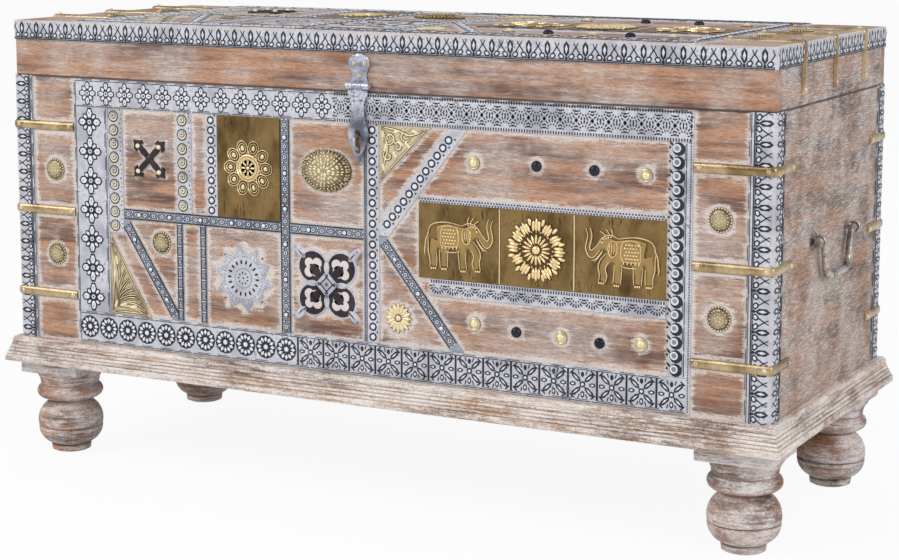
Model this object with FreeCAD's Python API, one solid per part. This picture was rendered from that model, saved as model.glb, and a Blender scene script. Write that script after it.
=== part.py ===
import FreeCAD, Part
import math
import os
from FreeCAD import Vector

# Dowry chest: a boarded case on turned feet, clad with embossed sheet metal, with a hinged lid,
# a hasp and staple on the front and a bail on each side. Front faces -Y, origin under the centre.

# Case and lid boards
CASE_W = 1100.0
CASE_D = 422.0
CASE_H = 366.0
LID_H = 75.0
BOARD_T = 18.0
BOTTOM_T = 14.0
LID_BOARD_T = 16.0
CORNER_BEVEL = 3.0
LID_EDGE_BEVEL = 2.0

# Plinth moulding
PLINTH_H = 35.0
PLINTH_OUT = 18.5
PLINTH_IN = 45.0
PLINTH_REEDS = 4
REED_BULGE = 1.2
# Outline of the moulding: share of PLINTH_OUT outwards, share of PLINTH_H down from the top.
PLINTH_TOP_SHARES = (0.22, 0.0)
PLINTH_OVOLO_SHARES = ((0.47, 0.04), (0.58, 0.18))
PLINTH_STEP_SHARES = ((0.58, 0.23), (0.5, 0.23))
PLINTH_REED_END_SHARES = (0.88, 0.74)
PLINTH_FASCIA_SHARES = ((0.95, 0.74), (1.0, 0.79), (1.0, 1.0))

# Turned feet and the blocks above them
FOOT_H = 115.0
FOOT_R = 48.0
FOOT_INSET = 45.0
BLOCK_H = 18.0
BLOCK_W = 96.0
TENON_R = 12.0
TENON_H = 13.0
TENON_CLEAR = 0.2
# Outline of a foot: share of FOOT_R, share of FOOT_H. Each arc is given by its middle and its end.
FOOT_PAD_SHARES = ((0.56, 0.0), (0.58, 0.07), (0.52, 0.09))
FOOT_BALL_LOW_SHARES = ((0.84, 0.18), (0.935, 0.3))
FOOT_GROOVE_SHARES = ((0.89, 0.315), (0.935, 0.33))
FOOT_BALL_HIGH_SHARES = ((0.87, 0.51), (0.65, 0.61))
FOOT_NECK_SHARES = ((0.62, 0.64), (0.68, 0.675))
FOOT_RING_SHARES = ((0.96, 0.75), (0.85, 0.82))
FOOT_CUP_SHARES = ((0.87, 0.9), (0.97, 0.975))

# Sheet metal cladding
SHEET_T = 1.5
INLAY_GAP = 0.5
CORNER_STRIP_W = 30.0
STRAP_W = 12.5
STRAP_T = 1.5
STRAP_SIDE_L = 61.0
STRAP_SHARES = (0.177, 0.495, 0.814)
LID_STRAP_SHARES = (0.22, 0.5, 0.78)
LID_STRAP_DROP = 62.0
RIM_STRIP_H = 24.0
NAIL_R = 3.2
NAIL_H = 1.8
NAIL_INSET = 6.5

# Inlaid field, the same on the front and on the lid
MARGIN_W = 100.0
LEFT_BAND_W = 56.0
RIGHT_BAND_W = 28.0
TOP_BAND_H = 38.0
BOTTOM_BAND_H = 44.0
EDGE_GAP = 1.5
CRESCENT_W = 24.0
RING_W = 18.0
DARK_W = 15.0
THIN_W = 10.0
FILLET_LINE_W = 5.0
ROW_H = 14.0
DOTTED_H = 7.0
LACE_H = 22.0
BAND_H = 95.0
BAND_END_GAP = 4.0
COLUMN_SHARES = {"crescent": 0.137, "ring": 0.195, "dark": 0.336, "post": 0.495,
                 "thin_left": 0.135, "thin_right": 0.181, "band": 0.587, "lace": 0.607}
ROW_SHARE = 0.47
BAND_SHARE = 0.324
BAND_SPLIT_SHARES = (0.335, 0.647)
BRACE_REACH = 112.0
BRACE_W = 20.0
LOWER_BRACE_W = 14.0
LEAF_W = 66.0
LEAF_H = 112.0
SPANDREL_W = 74.0

# Ornaments of the field: each keeps a margin from the strips beside its bay
FLOWER_MARGIN = 10.0
FLOWER_HUB_SHARE = 0.474
FLOWER_PETALS = 10
PETAL_RISE = 0.8
PETAL_WIDTH_SHARE = 0.42
STAR_MARGIN = 13.2
STAR_POINTS = 10
STAR_VALLEY_SHARE = 0.8
STAR_RING_SHARE = 0.62
STAR_RING_W = 4.0
STAR_SHARE = 0.238
SCROLL_MARGIN = 4.9
SCROLL_LOBE_SHARE = 0.54
SCROLL_HUB_SHARE = 0.3
SCROLL_EYE_SHARE = 0.18
SCROLL_SHARE = 0.249
OVAL_MARGIN = 17.9
OVAL_HEIGHT_SHARE = 0.716
OVAL_RISE = 7.0
OVAL_RIM = 3.0
OVAL_SHARE = 0.774
CROSS_MARGIN = 10.9
CROSS_W = 9.0
CROSS_WAIST_SHARE = 0.45
CROSS_SHARE = 0.769
SUNFLOWER_R = 20.5
SUNFLOWER_PETALS = 12
SUNFLOWER_SHARES = (0.55, 0.126)
ROSETTE_MARGIN = 11.5
ROSETTE_HUB_SHARE = 0.325
ROSETTE_PETAL_SHARE = 0.84
ROSETTE_PETALS = 12
# Elephant that walks to the right, with its blanket and its ear: share of the plate's width and height.
ELEPHANT_SHARES = (
    (0.07, 0.13), (0.18, 0.13), (0.21, 0.36), (0.27, 0.36), (0.28, 0.13), (0.39, 0.13), (0.39, 0.38),
    (0.53, 0.38), (0.54, 0.13), (0.64, 0.13), (0.65, 0.37), (0.7, 0.36), (0.73, 0.2), (0.82, 0.22),
    (0.78, 0.47), (0.89, 0.43), (0.97, 0.55), (0.95, 0.77), (0.9, 0.76), (0.89, 0.6), (0.83, 0.6),
    (0.79, 0.79), (0.7, 0.86), (0.6, 0.79), (0.37, 0.82), (0.17, 0.76), (0.07, 0.6), (0.06, 0.36))
BLANKET_SHARES = ((0.3, 0.47), (0.54, 0.47), (0.56, 0.8), (0.37, 0.82), (0.28, 0.79))
EAR_SHARES = ((0.62, 0.74), (0.63, 0.5), (0.7, 0.44), (0.74, 0.6), (0.71, 0.76))
MEDALLION_R = 15.0
MEDALLION_RIM = 3.0
MEDALLION_RISE = 4.5
MEDALLION_SHARES = (0.33, 0.65)
FIELD_MEDALLION_SHARES = (0.104, 0.37)
BRASS_STUD_R = 8.4
IRON_STUD_R = 6.8
STUD_RISE_SHARE = 0.6
BRASS_STUD_SHARES = ((0.681, 0.854), (0.962, 0.85), (0.683, 0.137), (0.828, 0.117), (0.957, 0.124))
IRON_STUD_SHARES = ((0.786, 0.858), (0.88, 0.856), (0.754, 0.119), (0.891, 0.11))

# Pin joints
PIN_R = 2.5
KNUCKLE_WALL = 2.2
KNUCKLE_STANDOFF = 0.5
KNUCKLE_CLEAR = 0.4
PIN_CLEAR = 0.08
LEAF_T = 2.0

# Lid hinges
HINGE_W = 72.0
HINGE_LEAF_H = 52.0
HINGE_SHARE = 0.27
HINGE_KNUCKLE_SHARES = (0.33, 0.67)
HINGE_SCREW_R = 4.0
HINGE_SCREW_RISE = 1.0
HINGE_SCREW_SHARES = ((0.18, 0.72), (0.5, 0.45), (0.82, 0.72))

# Hasp and staple
HASP_BARREL_L = 33.0
HASP_KNUCKLE_SHARES = (0.3, 0.7)
HASP_AXIS_RISE = 8.0
HASP_PLATE_HALF_W = 15.5
HASP_PLATE_H = 40.5
HASP_LEAF_HALF_W = 15.0
HASP_LEAF_L = 98.0
HASP_LEAF_T = 2.4
# Half outlines in arcs: share of the half width, share of the height from the barrel.
HASP_PLATE_SHARES = ((0.97, 0.0), (0.68, 0.28), (0.85, 0.52), (1.0, 0.74), (0.55, 0.92), (0.3, 0.98),
                     (0.0, 1.0))
HASP_LEAF_SHARES = ((1.0, 0.05), (0.57, 0.28), (0.97, 0.58), (0.62, 0.8), (0.0, 1.0))
HASP_NAIL_SHARES = ((0.0, 0.3), (-0.5, 0.68), (0.5, 0.68))
SLOT_W = 7.0
SLOT_L = 30.0
STAPLE_ROD_R = 2.0
STAPLE_HALF = 9.0
STAPLE_DROP = 71.0
STAPLE_OUT = 18.0
STAPLE_CLINCH = 3.0
STAPLE_CLEAR = 0.1

# Bails and their eyes
BAIL_ROD_R = 4.5
BAIL_CLEAR = 0.3
BAIL_STANDOFF = 10.0
BAIL_DROP = 48.0
BAIL_CORNER_HALF = 54.0
BAIL_FOOT_HALF = 43.0
BAIL_TOP_BEND_R = 9.0
BAIL_LOW_BEND_R = 20.0
BAIL_END = 11.0
BAIL_BUTTON_R = 6.5
BAIL_BUTTON_T = 4.0
EYE_HALF_SPAN = 68.0
EYE_R = 8.0
EYE_W = 10.0
EYE_BASE_R = 12.0
EYE_BASE_T = 2.0
EYE_NECK_H = 9.0
EYE_RISE_SHARE = 0.54

# One overrun serves every cut.
OVERRUN = 5.0

# Facets: hammered and cast pieces are faceted, arcs are cut into short chords.
TURNED_CHORDS = 2
EDGE_CHORDS = 3
TURNED_SIDES = 16
BEND_STEPS = 3
ROD_SIDES = 8
EYE_SIDES = 8
KNUCKLE_SIDES = 12
NAIL_SIDES = 5
STUD_SIDES = 8
OVAL_SIDES = 12
# Rings of a boss: share of its half size, share of its rise.
NAIL_RING_SHARES = ((1.0, 0.0), (0.55, 1.0))
BOSS_RING_SHARES = ((1.0, 0.0), (0.74, 0.65), (0.35, 1.0))
# Outline of a petal: share of its length, share of its width.
PETAL_SHARES = ((0.0, 0.0), (0.4, -0.48), (0.85, -0.36), (1.0, 0.0), (0.85, 0.36), (0.4, 0.48))

# Levels and half sizes that follow
half_w = CASE_W / 2
half_d = CASE_D / 2
block_z = FOOT_H
plinth_z = block_z + BLOCK_H
case_z = plinth_z + PLINTH_H
seam_z = case_z + CASE_H
top_z = seam_z + LID_H
knuckle_r = PIN_R + KNUCKLE_WALL
relief_r = knuckle_r + KNUCKLE_CLEAR
axis_out = knuckle_r + KNUCKLE_STANDOFF
hasp_axis_z = seam_z + HASP_AXIS_RISE

X_AXIS = Vector(1, 0, 0)
Y_AXIS = Vector(0, 1, 0)
Z_AXIS = Vector(0, 0, 1)
ORIGIN = Vector(0, 0, 0)

os.makedirs("parts", exist_ok=True)


# Shape helpers

def box(x0, x1, y0, y1, z0, z1):
    return Part.makeBox(x1 - x0, y1 - y0, z1 - z0, Vector(x0, y0, z0))


def rod(radius, start, end):
    return Part.makeCylinder(radius, (end - start).Length, start, end - start)


def prism(points, rise, base=0.0):
    """Flat polygon in the XY plane, raised along +Z."""
    corners = [Vector(x, y, base) for x, y in points]
    wire = Part.makePolygon(corners + corners[:1])
    return Part.Face(wire).extrude(Vector(0, 0, rise))


def tile(x0, x1, y0, y1, rise=SHEET_T):
    return box(x0, x1, y0, y1, 0, rise)


def bar(start, end, width, region):
    """A strip along the line from start to end, trimmed to a region (x0, x1, y0, y1)."""
    along = Vector(end[0] - start[0], end[1] - start[1], 0)
    along.normalize()
    side = Vector(-along.y, along.x, 0) * (width / 2)
    first = Vector(start[0], start[1], 0) - along * width
    last = Vector(end[0], end[1], 0) + along * width
    corners = [first + side, first - side, last - side, last + side]
    strip = prism([(p.x, p.y) for p in corners], SHEET_T)
    return strip.common(tile(*region))


def ring_points(half_x, half_y, sides, base=0.0):
    angles = [2 * math.pi * index / sides for index in range(sides)]
    return [Vector(half_x * math.cos(a), half_y * math.sin(a), base) for a in angles]


def facet(points):
    return Part.Face(Part.makePolygon(points + points[:1]))


def skinned(rings):
    """Closed solid of flat facets through rings of points, each ring with as many points."""
    facets = [facet(rings[0]), facet(rings[-1])]
    for low, high in zip(rings, rings[1:]):
        for index, corner in enumerate(low):
            beside = (index + 1) % len(low)
            facets.append(facet([corner, low[beside], high[beside]]))
            facets.append(facet([corner, high[beside], high[index]]))
    solid = Part.Solid(Part.Shell(facets))
    if solid.Volume < 0:
        solid.reverse()
    return solid.removeSplitter()


def chords(start, middle, end, count):
    """Points that cut an arc into short chords, after its start."""
    return Part.Arc(start, middle, end).toShape().discretize(count + 1)[1:]


def turned(segments):
    """Turned solid about Z. A segment is a point (r, z), or a pair of points for an arc."""
    outline = [Vector(segments[0][0], 0, segments[0][1])]
    for segment in segments[1:]:
        if isinstance(segment[0], tuple):
            middle, end = (Vector(r, 0, z) for r, z in segment)
            outline += chords(outline[-1], middle, end, TURNED_CHORDS)
        else:
            outline.append(Vector(segment[0], 0, segment[1]))
    return skinned([ring_points(p.x, p.x, TURNED_SIDES, p.z) for p in outline])


def boss(half_x, half_y, rise, sides=STUD_SIDES, rings=BOSS_RING_SHARES):
    """Faceted round or oval boss standing on the XY plane."""
    return skinned([ring_points(half_x * size, half_y * size, sides, rise * height)
                    for size, height in rings])


def dome(radius, rise):
    return boss(radius, radius, rise)


def nail_head(radius, rise):
    return boss(radius, radius, rise, NAIL_SIDES, NAIL_RING_SHARES)


def disc(radius, rise, base=0.0):
    return facet(ring_points(radius, radius, OVAL_SIDES, base)).extrude(Vector(0, 0, rise))


def moved(shape, x=0.0, y=0.0, z=0.0):
    copy = shape.copy()
    copy.translate(Vector(x, y, z))
    return copy


def petal(inner, outer, width, base, rise):
    """Raised petal that points along +X."""
    outline = [(inner + along * (outer - inner), across * width) for along, across in PETAL_SHARES]
    return prism(outline, rise, base)


def around(shape, count):
    """Copies of a shape, evenly turned about Z."""
    copies = []
    for index in range(count):
        copy = shape.copy()
        copy.rotate(ORIGIN, Z_AXIS, 360 * index / count)
        copies.append(copy)
    return copies


def fused(shapes):
    return shapes[0].multiFuse(shapes[1:]).removeSplitter()


def rounded_path(points, radii):
    """Straight runs joined by tangent arcs, through corner points with their radii."""
    edges = []
    here = points[0]
    for before, corner, after, radius in zip(points, points[1:], points[2:], radii):
        into = (before - corner).normalize()
        out = (after - corner).normalize()
        half_turn = into.getAngle(out) / 2
        reach = radius / math.tan(half_turn)
        start = corner + into * reach
        end = corner + out * reach
        bisector = (into + out).normalize()
        centre = corner + bisector * (radius / math.sin(half_turn))
        middle = centre - bisector * radius
        edges.append(Part.makeLine(here, start))
        edges.append(Part.Arc(start, middle, end).toShape())
        here = end
    edges.append(Part.makeLine(here, points[-1]))
    return Part.Wire(edges)


def bent_rod(path, radius):
    """Forged rod along straight runs and arcs in a plane of constant x, lofted through its sections."""
    sections = []
    for edge in path.OrderedEdges:
        steps = 1 if isinstance(edge.Curve, Part.Line) else BEND_STEPS
        span = edge.LastParameter - edge.FirstParameter
        for index in range(steps + 1):
            if sections and index == 0:
                continue
            parameter = edge.FirstParameter + span * index / steps
            across = edge.tangentAt(parameter).cross(X_AXIS) * radius
            points = [edge.valueAt(parameter) + X_AXIS * (radius * p.x) + across * p.y
                      for p in ring_points(1, 1, ROD_SIDES)]
            sections.append(points)
    return skinned(sections)


def faceted_rod(radius, x, y0, y1, z):
    """Straight rod along Y with the facets of a forged one."""
    return bent_rod(Part.Wire([Part.makeLine(Vector(x, y0, z), Vector(x, y1, z))]), radius)


def mirrored_face(shares, half_width, height):
    """Face from a half outline of arcs, cut into chords: a start, then the middle and the end of each arc."""
    right = [Vector(x * half_width, y * height, 0) for x, y in shares]
    left = [Vector(-p.x, p.y, 0) for p in reversed(right)]
    outline = [right[0]]
    for side in (right, left):
        for start, middle, end in zip(side[0::2], side[1::2], side[2::2]):
            outline += chords(start, middle, end, EDGE_CHORDS)
    return facet(outline)


def case_outline(grow, z0, z1):
    """The case with its bevelled corners, grown outwards by a thickness, between two levels."""
    block = box(-half_w - grow, half_w + grow, -half_d - grow, half_d + grow, z0, z1)
    uprights = [e for e in block.Edges if abs(e.tangentAt(e.FirstParameter).z) > 0.5]
    return block.makeChamfer(CORNER_BEVEL + grow * (2 - math.sqrt(2)), uprights)


# Placing: flat pieces are made on the XY plane and put on a face of the chest

def on_front(shape):
    copy = shape.copy()
    copy.rotate(ORIGIN, X_AXIS, 90)
    copy.translate(Vector(0, -half_d, case_z))
    return copy


def on_right(shape):
    copy = shape.copy()
    copy.rotate(ORIGIN, Vector(1, 1, 1), 120)
    copy.translate(Vector(half_w, 0, 0))
    return copy


def on_top(shape):
    return moved(shape, 0, -half_d, top_z)


def half_turned(shape):
    copy = shape.copy()
    copy.rotate(ORIGIN, Z_AXIS, 180)
    return copy


def save(node, shapes):
    solids = shapes if isinstance(shapes, list) else [shapes]
    whole = solids[0] if len(solids) == 1 else Part.makeCompound(solids)
    whole.exportStep("parts/" + node + ".step")


# Case boards

case_block = case_outline(0.0, case_z, seam_z)
staple_z = hasp_axis_z - STAPLE_DROP
front_panel = case_block.common(box(-half_w, half_w, -half_d, -half_d + BOARD_T, case_z, seam_z))
for side in (-1, 1):
    leg_z = staple_z + side * STAPLE_HALF
    front_panel = front_panel.cut(faceted_rod(STAPLE_ROD_R + STAPLE_CLEAR, 0, -half_d - OVERRUN,
                                              -half_d + BOARD_T + OVERRUN, leg_z))
save("front_panel", front_panel)
save("back_panel", case_block.common(box(-half_w, half_w, half_d - BOARD_T, half_d, case_z, seam_z)))
side_y = half_d - BOARD_T
save("left_panel", box(-half_w, -half_w + BOARD_T, -side_y, side_y, case_z, seam_z))
save("right_panel", box(half_w - BOARD_T, half_w, -side_y, side_y, case_z, seam_z))
inner_x = half_w - BOARD_T
save("bottom_board", box(-inner_x, inner_x, -side_y, side_y, case_z, case_z + BOTTOM_T))


# Plinth: one moulding profile, mitred at the corners

def plinth_face():
    """Profile in the YZ plane, outwards along -Y from the case's face at y = 0."""
    def at(shares):
        return Vector(0, -shares[0] * PLINTH_OUT, case_z - shares[1] * PLINTH_H)

    outline = [Vector(0, PLINTH_IN, case_z), at(PLINTH_TOP_SHARES)]
    outline += chords(outline[-1], *map(at, PLINTH_OVOLO_SHARES), EDGE_CHORDS)
    outline += map(at, PLINTH_STEP_SHARES)
    slope = (at(PLINTH_REED_END_SHARES) - outline[-1]) / PLINTH_REEDS
    bulge = Vector(0, slope.z, -slope.y).normalize() * REED_BULGE
    for _ in range(PLINTH_REEDS):
        low = outline[-1]
        outline += chords(low, low + slope / 2 + bulge, low + slope, EDGE_CHORDS)
    outline += map(at, PLINTH_FASCIA_SHARES)
    outline.append(Vector(0, PLINTH_IN, plinth_z))
    return facet(outline)


def plinth_side(half_length, half_depth):
    """One length of plinth on the -Y side of a case with these half sizes."""
    reach = half_length + PLINTH_OUT
    face = plinth_face()
    face.translate(Vector(-reach, -half_depth, 0))
    length = face.extrude(Vector(2 * reach, 0, 0))
    inner = half_length - PLINTH_IN
    mitre = prism([(-reach, -half_depth - PLINTH_OUT), (reach, -half_depth - PLINTH_OUT),
                   (inner, -half_depth + PLINTH_IN), (-inner, -half_depth + PLINTH_IN)],
                  PLINTH_H, plinth_z)
    return length.common(mitre)


plinth_front = plinth_side(half_w, half_d)
save("plinth_front", plinth_front)
save("plinth_back", half_turned(plinth_front))
plinth_right = plinth_side(half_d, half_w)
plinth_right.rotate(ORIGIN, Z_AXIS, 90)
save("plinth_right", plinth_right)
save("plinth_left", half_turned(plinth_right))


# Feet

def foot():
    def at(shares):
        return (shares[0] * FOOT_R, shares[1] * FOOT_H)

    def points(outline):
        return [at(shares) for shares in outline]

    def arc(outline):
        return (at(outline[0]), at(outline[1]))

    spindle = turned([*points(FOOT_PAD_SHARES), arc(FOOT_BALL_LOW_SHARES), *points(FOOT_GROOVE_SHARES),
                      arc(FOOT_BALL_HIGH_SHARES), *points(FOOT_NECK_SHARES), arc(FOOT_RING_SHARES),
                      arc(FOOT_CUP_SHARES), (FOOT_R, FOOT_H)])
    return spindle.fuse(disc(TENON_R, TENON_H, FOOT_H))


foot_x = half_w - FOOT_INSET
foot_y = half_d - FOOT_INSET
turned_foot = foot()
block = box(-BLOCK_W / 2, BLOCK_W / 2, -BLOCK_W / 2, BLOCK_W / 2, block_z, plinth_z)
block = block.cut(disc(TENON_R + TENON_CLEAR, TENON_H + TENON_CLEAR, block_z))
blocks = []
for name, x, y in (("front_left", -foot_x, -foot_y), ("front_right", foot_x, -foot_y),
                   ("back_left", -foot_x, foot_y), ("back_right", foot_x, foot_y)):
    save("foot_" + name, moved(turned_foot, x, y))
    blocks.append(moved(block, x, y))
save("foot_blocks", blocks)


# Corner cladding: embossed angle strips, and brass straps that cross over them

strip_ring = case_outline(SHEET_T, case_z, seam_z).cut(case_block)
corner_strips = []
for x_side in (-1, 1):
    for y_side in (-1, 1):
        x_in = x_side * (half_w - CORNER_STRIP_W)
        x_out = x_side * (half_w + OVERRUN)
        y_in = y_side * (half_d - CORNER_STRIP_W)
        y_out = y_side * (half_d + OVERRUN)
        corner = box(min(x_in, x_out), max(x_in, x_out), min(y_in, y_out), max(y_in, y_out), case_z, seam_z)
        corner_strips.append(strip_ring.common(corner))
save("corner_strips", corner_strips)

strap_out = SHEET_T + STRAP_T
strap_front_l = MARGIN_W - INLAY_GAP
nail = nail_head(NAIL_R, NAIL_H)
straps = []
strap_nails = []
for share in STRAP_SHARES:
    z = case_z + share * CASE_H
    level = case_outline(strap_out, z - STRAP_W / 2, z + STRAP_W / 2).cut(case_block)
    for x_side in (-1, 1):
        for y_side in (-1, 1):
            x_in = x_side * (half_w - strap_front_l)
            x_out = x_side * (half_w + OVERRUN)
            y_in = y_side * (half_d - STRAP_SIDE_L)
            y_out = y_side * (half_d + OVERRUN)
            corner = box(min(x_in, x_out), max(x_in, x_out), min(y_in, y_out), max(y_in, y_out),
                         z - STRAP_W / 2, z + STRAP_W / 2)
            strap = level.common(corner)
            for strip in corner_strips:
                strap = strap.cut(strip)
            straps.append(strap)
            for inset in (NAIL_INSET, strap_front_l - NAIL_INSET):
                head = nail.copy()
                head.rotate(ORIGIN, X_AXIS, -y_side * 90)
                strap_nails.append(moved(head, x_side * (half_w - inset), y_side * (half_d + strap_out), z))
            head = nail.copy()
            head.rotate(ORIGIN, Y_AXIS, x_side * 90)
            strap_nails.append(moved(head, x_side * (half_w + strap_out),
                                     y_side * (half_d - STRAP_SIDE_L + NAIL_INSET), z))
save("corner_straps", straps)


# Inlaid field: every line is worked out from the panel's height

class Field:
    """Lines of the inlay on a panel: x from the centre, y from the panel's lower edge."""

    def __init__(self, panel_h):
        self.panel_h = panel_h
        self.outer_left = -half_w + MARGIN_W
        self.outer_right = half_w - MARGIN_W
        self.left = self.outer_left + LEFT_BAND_W
        self.right = self.outer_right - RIGHT_BAND_W
        self.bottom = EDGE_GAP + BOTTOM_BAND_H
        self.top = panel_h - EDGE_GAP - TOP_BAND_H
        self.row = self.y(ROW_SHARE)
        self.row_top = self.row + ROW_H
        self.post = self.column("post") + RING_W
        self.band_left = self.column("band")
        self.band_right = self.right - BAND_END_GAP
        self.band_low = self.y(BAND_SHARE)
        self.band_high = self.band_low + BAND_H

    def x(self, share):
        return self.left + share * (self.right - self.left)

    def y(self, share):
        return self.bottom + share * (self.top - self.bottom)

    def column(self, name):
        return self.x(COLUMN_SHARES[name])

    def bands(self):
        """The four outer bands: bottom and top run through, left and right fit between."""
        return {
            "bottom": tile(self.outer_left, self.outer_right, EDGE_GAP, self.bottom - INLAY_GAP),
            "top": tile(self.outer_left, self.outer_right, self.top + INLAY_GAP, self.panel_h - EDGE_GAP),
            "left": tile(self.outer_left, self.left - INLAY_GAP, self.bottom, self.top),
            "right": tile(self.right + INLAY_GAP, self.outer_right, self.bottom, self.top),
        }

    def upright(self, left, width, low, high):
        return tile(left + INLAY_GAP, left + width - INLAY_GAP, low + INLAY_GAP, high - INLAY_GAP)

    def crescent_strips(self):
        leaf_top = self.bottom + LEAF_H + INLAY_GAP
        return [self.upright(self.left, CRESCENT_W, leaf_top, self.top),
                self.upright(self.column("crescent"), CRESCENT_W, self.row_top, self.top)]

    def ring_strips(self):
        middle = self.row + ROW_H / 2
        end = self.post + BRACE_REACH
        return [self.upright(self.column("ring"), RING_W, self.row_top, self.top),
                self.upright(self.column("post"), RING_W, self.bottom, self.top),
                bar((self.post, middle), (end, self.top), BRACE_W,
                    (self.post, self.right, middle + INLAY_GAP, self.top - INLAY_GAP))]

    def narrow_strips(self):
        dark = self.column("dark")
        middle = self.row + ROW_H / 2
        foot_x_low = self.column("thin_left")
        line_left = self.column("post") - FILLET_LINE_W
        return [self.upright(dark, DARK_W, self.bottom, self.top),
                self.upright(line_left, FILLET_LINE_W, self.bottom, self.top),
                tile(self.left + CRESCENT_W, dark, self.row + INLAY_GAP, self.row_top - INLAY_GAP),
                tile(dark + DARK_W, line_left, self.row + INLAY_GAP, self.row_top - INLAY_GAP),
                self.upright(self.column("thin_left"), THIN_W, self.bottom, self.row),
                self.upright(self.column("thin_right"), THIN_W, self.bottom, self.row),
                bar((self.left + CRESCENT_W, self.row), (foot_x_low, self.bottom), LOWER_BRACE_W,
                    (self.left + CRESCENT_W, foot_x_low, self.bottom + INLAY_GAP, self.row)),
                bar((self.post, middle), (self.post + BRACE_REACH, self.bottom), LOWER_BRACE_W,
                    (self.post, self.right, self.bottom + INLAY_GAP, middle - INLAY_GAP))]

    def lace_strips(self):
        return [tile(self.column("lace"), self.band_right, self.band_low - LACE_H, self.band_low - INLAY_GAP),
                tile(self.band_left, self.band_right, self.band_high + INLAY_GAP, self.band_high + DOTTED_H)]

    def leaf_plates(self):
        """Foliage triangles in the lower left corner and beside the post at the top."""
        low_x = self.left + INLAY_GAP
        low_y = self.bottom + INLAY_GAP
        high_x = self.post + INLAY_GAP
        high_y = self.top - INLAY_GAP
        return [prism([(low_x, low_y), (low_x + LEAF_W, low_y), (low_x, low_y + LEAF_H)], SHEET_T),
                prism([(high_x, high_y), (high_x, high_y - SPANDREL_W), (high_x + SPANDREL_W, high_y)],
                      SHEET_T)]

    def flower_plate(self):
        left = self.column("ring") + RING_W + INLAY_GAP
        right = self.column("dark") - INLAY_GAP
        low = self.row_top + INLAY_GAP
        high = self.top - INLAY_GAP
        reach = (right - left) / 2 - FLOWER_MARGIN
        hub_r = reach * FLOWER_HUB_SHARE
        ring = around(petal(hub_r, reach, hub_r * PETAL_WIDTH_SHARE, SHEET_T, PETAL_RISE), FLOWER_PETALS)
        hub = dome(hub_r, PETAL_RISE + SHEET_T)
        flower = [moved(piece, (left + right) / 2, (low + high) / 2) for piece in [hub] + ring]
        return fused([tile(left, right, low, high)] + flower)

    def elephant_plate(self, left, right, facing_left):
        """Plate with a raised elephant, its blanket and its ear raised once more."""
        def figure(shares, rise):
            points = [(left + (1 - x if facing_left else x) * (right - left), self.band_low + y * BAND_H)
                      for x, y in shares]
            return prism(points, rise)

        elephant = figure(ELEPHANT_SHARES, SHEET_T + PETAL_RISE)
        trappings = [figure(shares, SHEET_T + 2 * PETAL_RISE) for shares in (BLANKET_SHARES, EAR_SHARES)]
        return fused([tile(left, right, self.band_low, self.band_high), elephant] + trappings)

    def band_plates(self):
        """Brass plates of the long band: one left and one right of the rosette plate."""
        length = self.band_right - self.band_left
        splits = [self.band_left + share * length for share in BAND_SPLIT_SHARES]
        low, high = self.band_low, self.band_high
        left = self.elephant_plate(self.band_left, splits[0] - INLAY_GAP, False)
        right = self.elephant_plate(splits[1] + INLAY_GAP, self.band_right, True)
        reach = (splits[1] - splits[0]) / 2 - ROSETTE_MARGIN
        hub_r = reach * ROSETTE_HUB_SHARE
        width = hub_r * ROSETTE_PETAL_SHARE
        petals = around(petal(hub_r, reach, width, SHEET_T, PETAL_RISE), ROSETTE_PETALS)
        hub = dome(hub_r, PETAL_RISE + SHEET_T)
        centre_x = (splits[0] + splits[1]) / 2
        centre_y = (low + high) / 2
        rosette = [moved(piece, centre_x, centre_y) for piece in [hub] + petals]
        middle = fused([tile(splits[0] + INLAY_GAP, splits[1] - INLAY_GAP, low, high)] + rosette)
        return left, middle, right

    def star_plate(self):
        left = self.column("thin_right") + THIN_W
        right = self.column("dark")
        reach = (right - left) / 2 - STAR_MARGIN
        points = []
        for index in range(2 * STAR_POINTS):
            radius = reach * (STAR_VALLEY_SHARE if index % 2 else 1)
            angle = math.pi * index / STAR_POINTS + math.pi / 2
            points.append((radius * math.cos(angle), radius * math.sin(angle)))
        ring_r = reach * STAR_RING_SHARE
        rise = SHEET_T + PETAL_RISE
        ring = disc(ring_r, rise).cut(disc(ring_r - STAR_RING_W, rise))
        plate = fused([prism(points, SHEET_T), ring, dome(ring_r / 2, rise)])
        return moved(plate, (left + right) / 2, self.y(STAR_SHARE))

    def panel(self):
        """Left and right edges of the bays between the dark upright and the post."""
        return self.column("dark") + DARK_W, self.column("post") - FILLET_LINE_W

    def scroll_plate(self):
        left, right = self.panel()
        radius = (right - left) / 2 - SCROLL_MARGIN
        lobe_r = radius * SCROLL_LOBE_SHARE
        lobes = around(moved(disc(lobe_r, SHEET_T), radius - lobe_r), 4)
        eyes = around(moved(disc(radius * SCROLL_EYE_SHARE, PETAL_RISE, SHEET_T), radius - lobe_r), 4)
        plate = fused(lobes + eyes + [disc(radius * SCROLL_HUB_SHARE, SHEET_T + PETAL_RISE)])
        plate.rotate(ORIGIN, Z_AXIS, 45)
        return moved(plate, (left + right) / 2, self.y(SCROLL_SHARE))

    def oval_boss(self):
        left, right = self.panel()
        half_x = (right - left) / 2 - OVAL_MARGIN
        half_y = half_x * OVAL_HEIGHT_SHARE
        rim = facet(ring_points(half_x, half_y, OVAL_SIDES)).extrude(Vector(0, 0, SHEET_T))
        crown = boss(half_x - OVAL_RIM, half_y - OVAL_RIM, OVAL_RISE, OVAL_SIDES)
        return moved(fused([rim, moved(crown, 0, 0, SHEET_T)]), (left + right) / 2, self.y(OVAL_SHARE))

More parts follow.
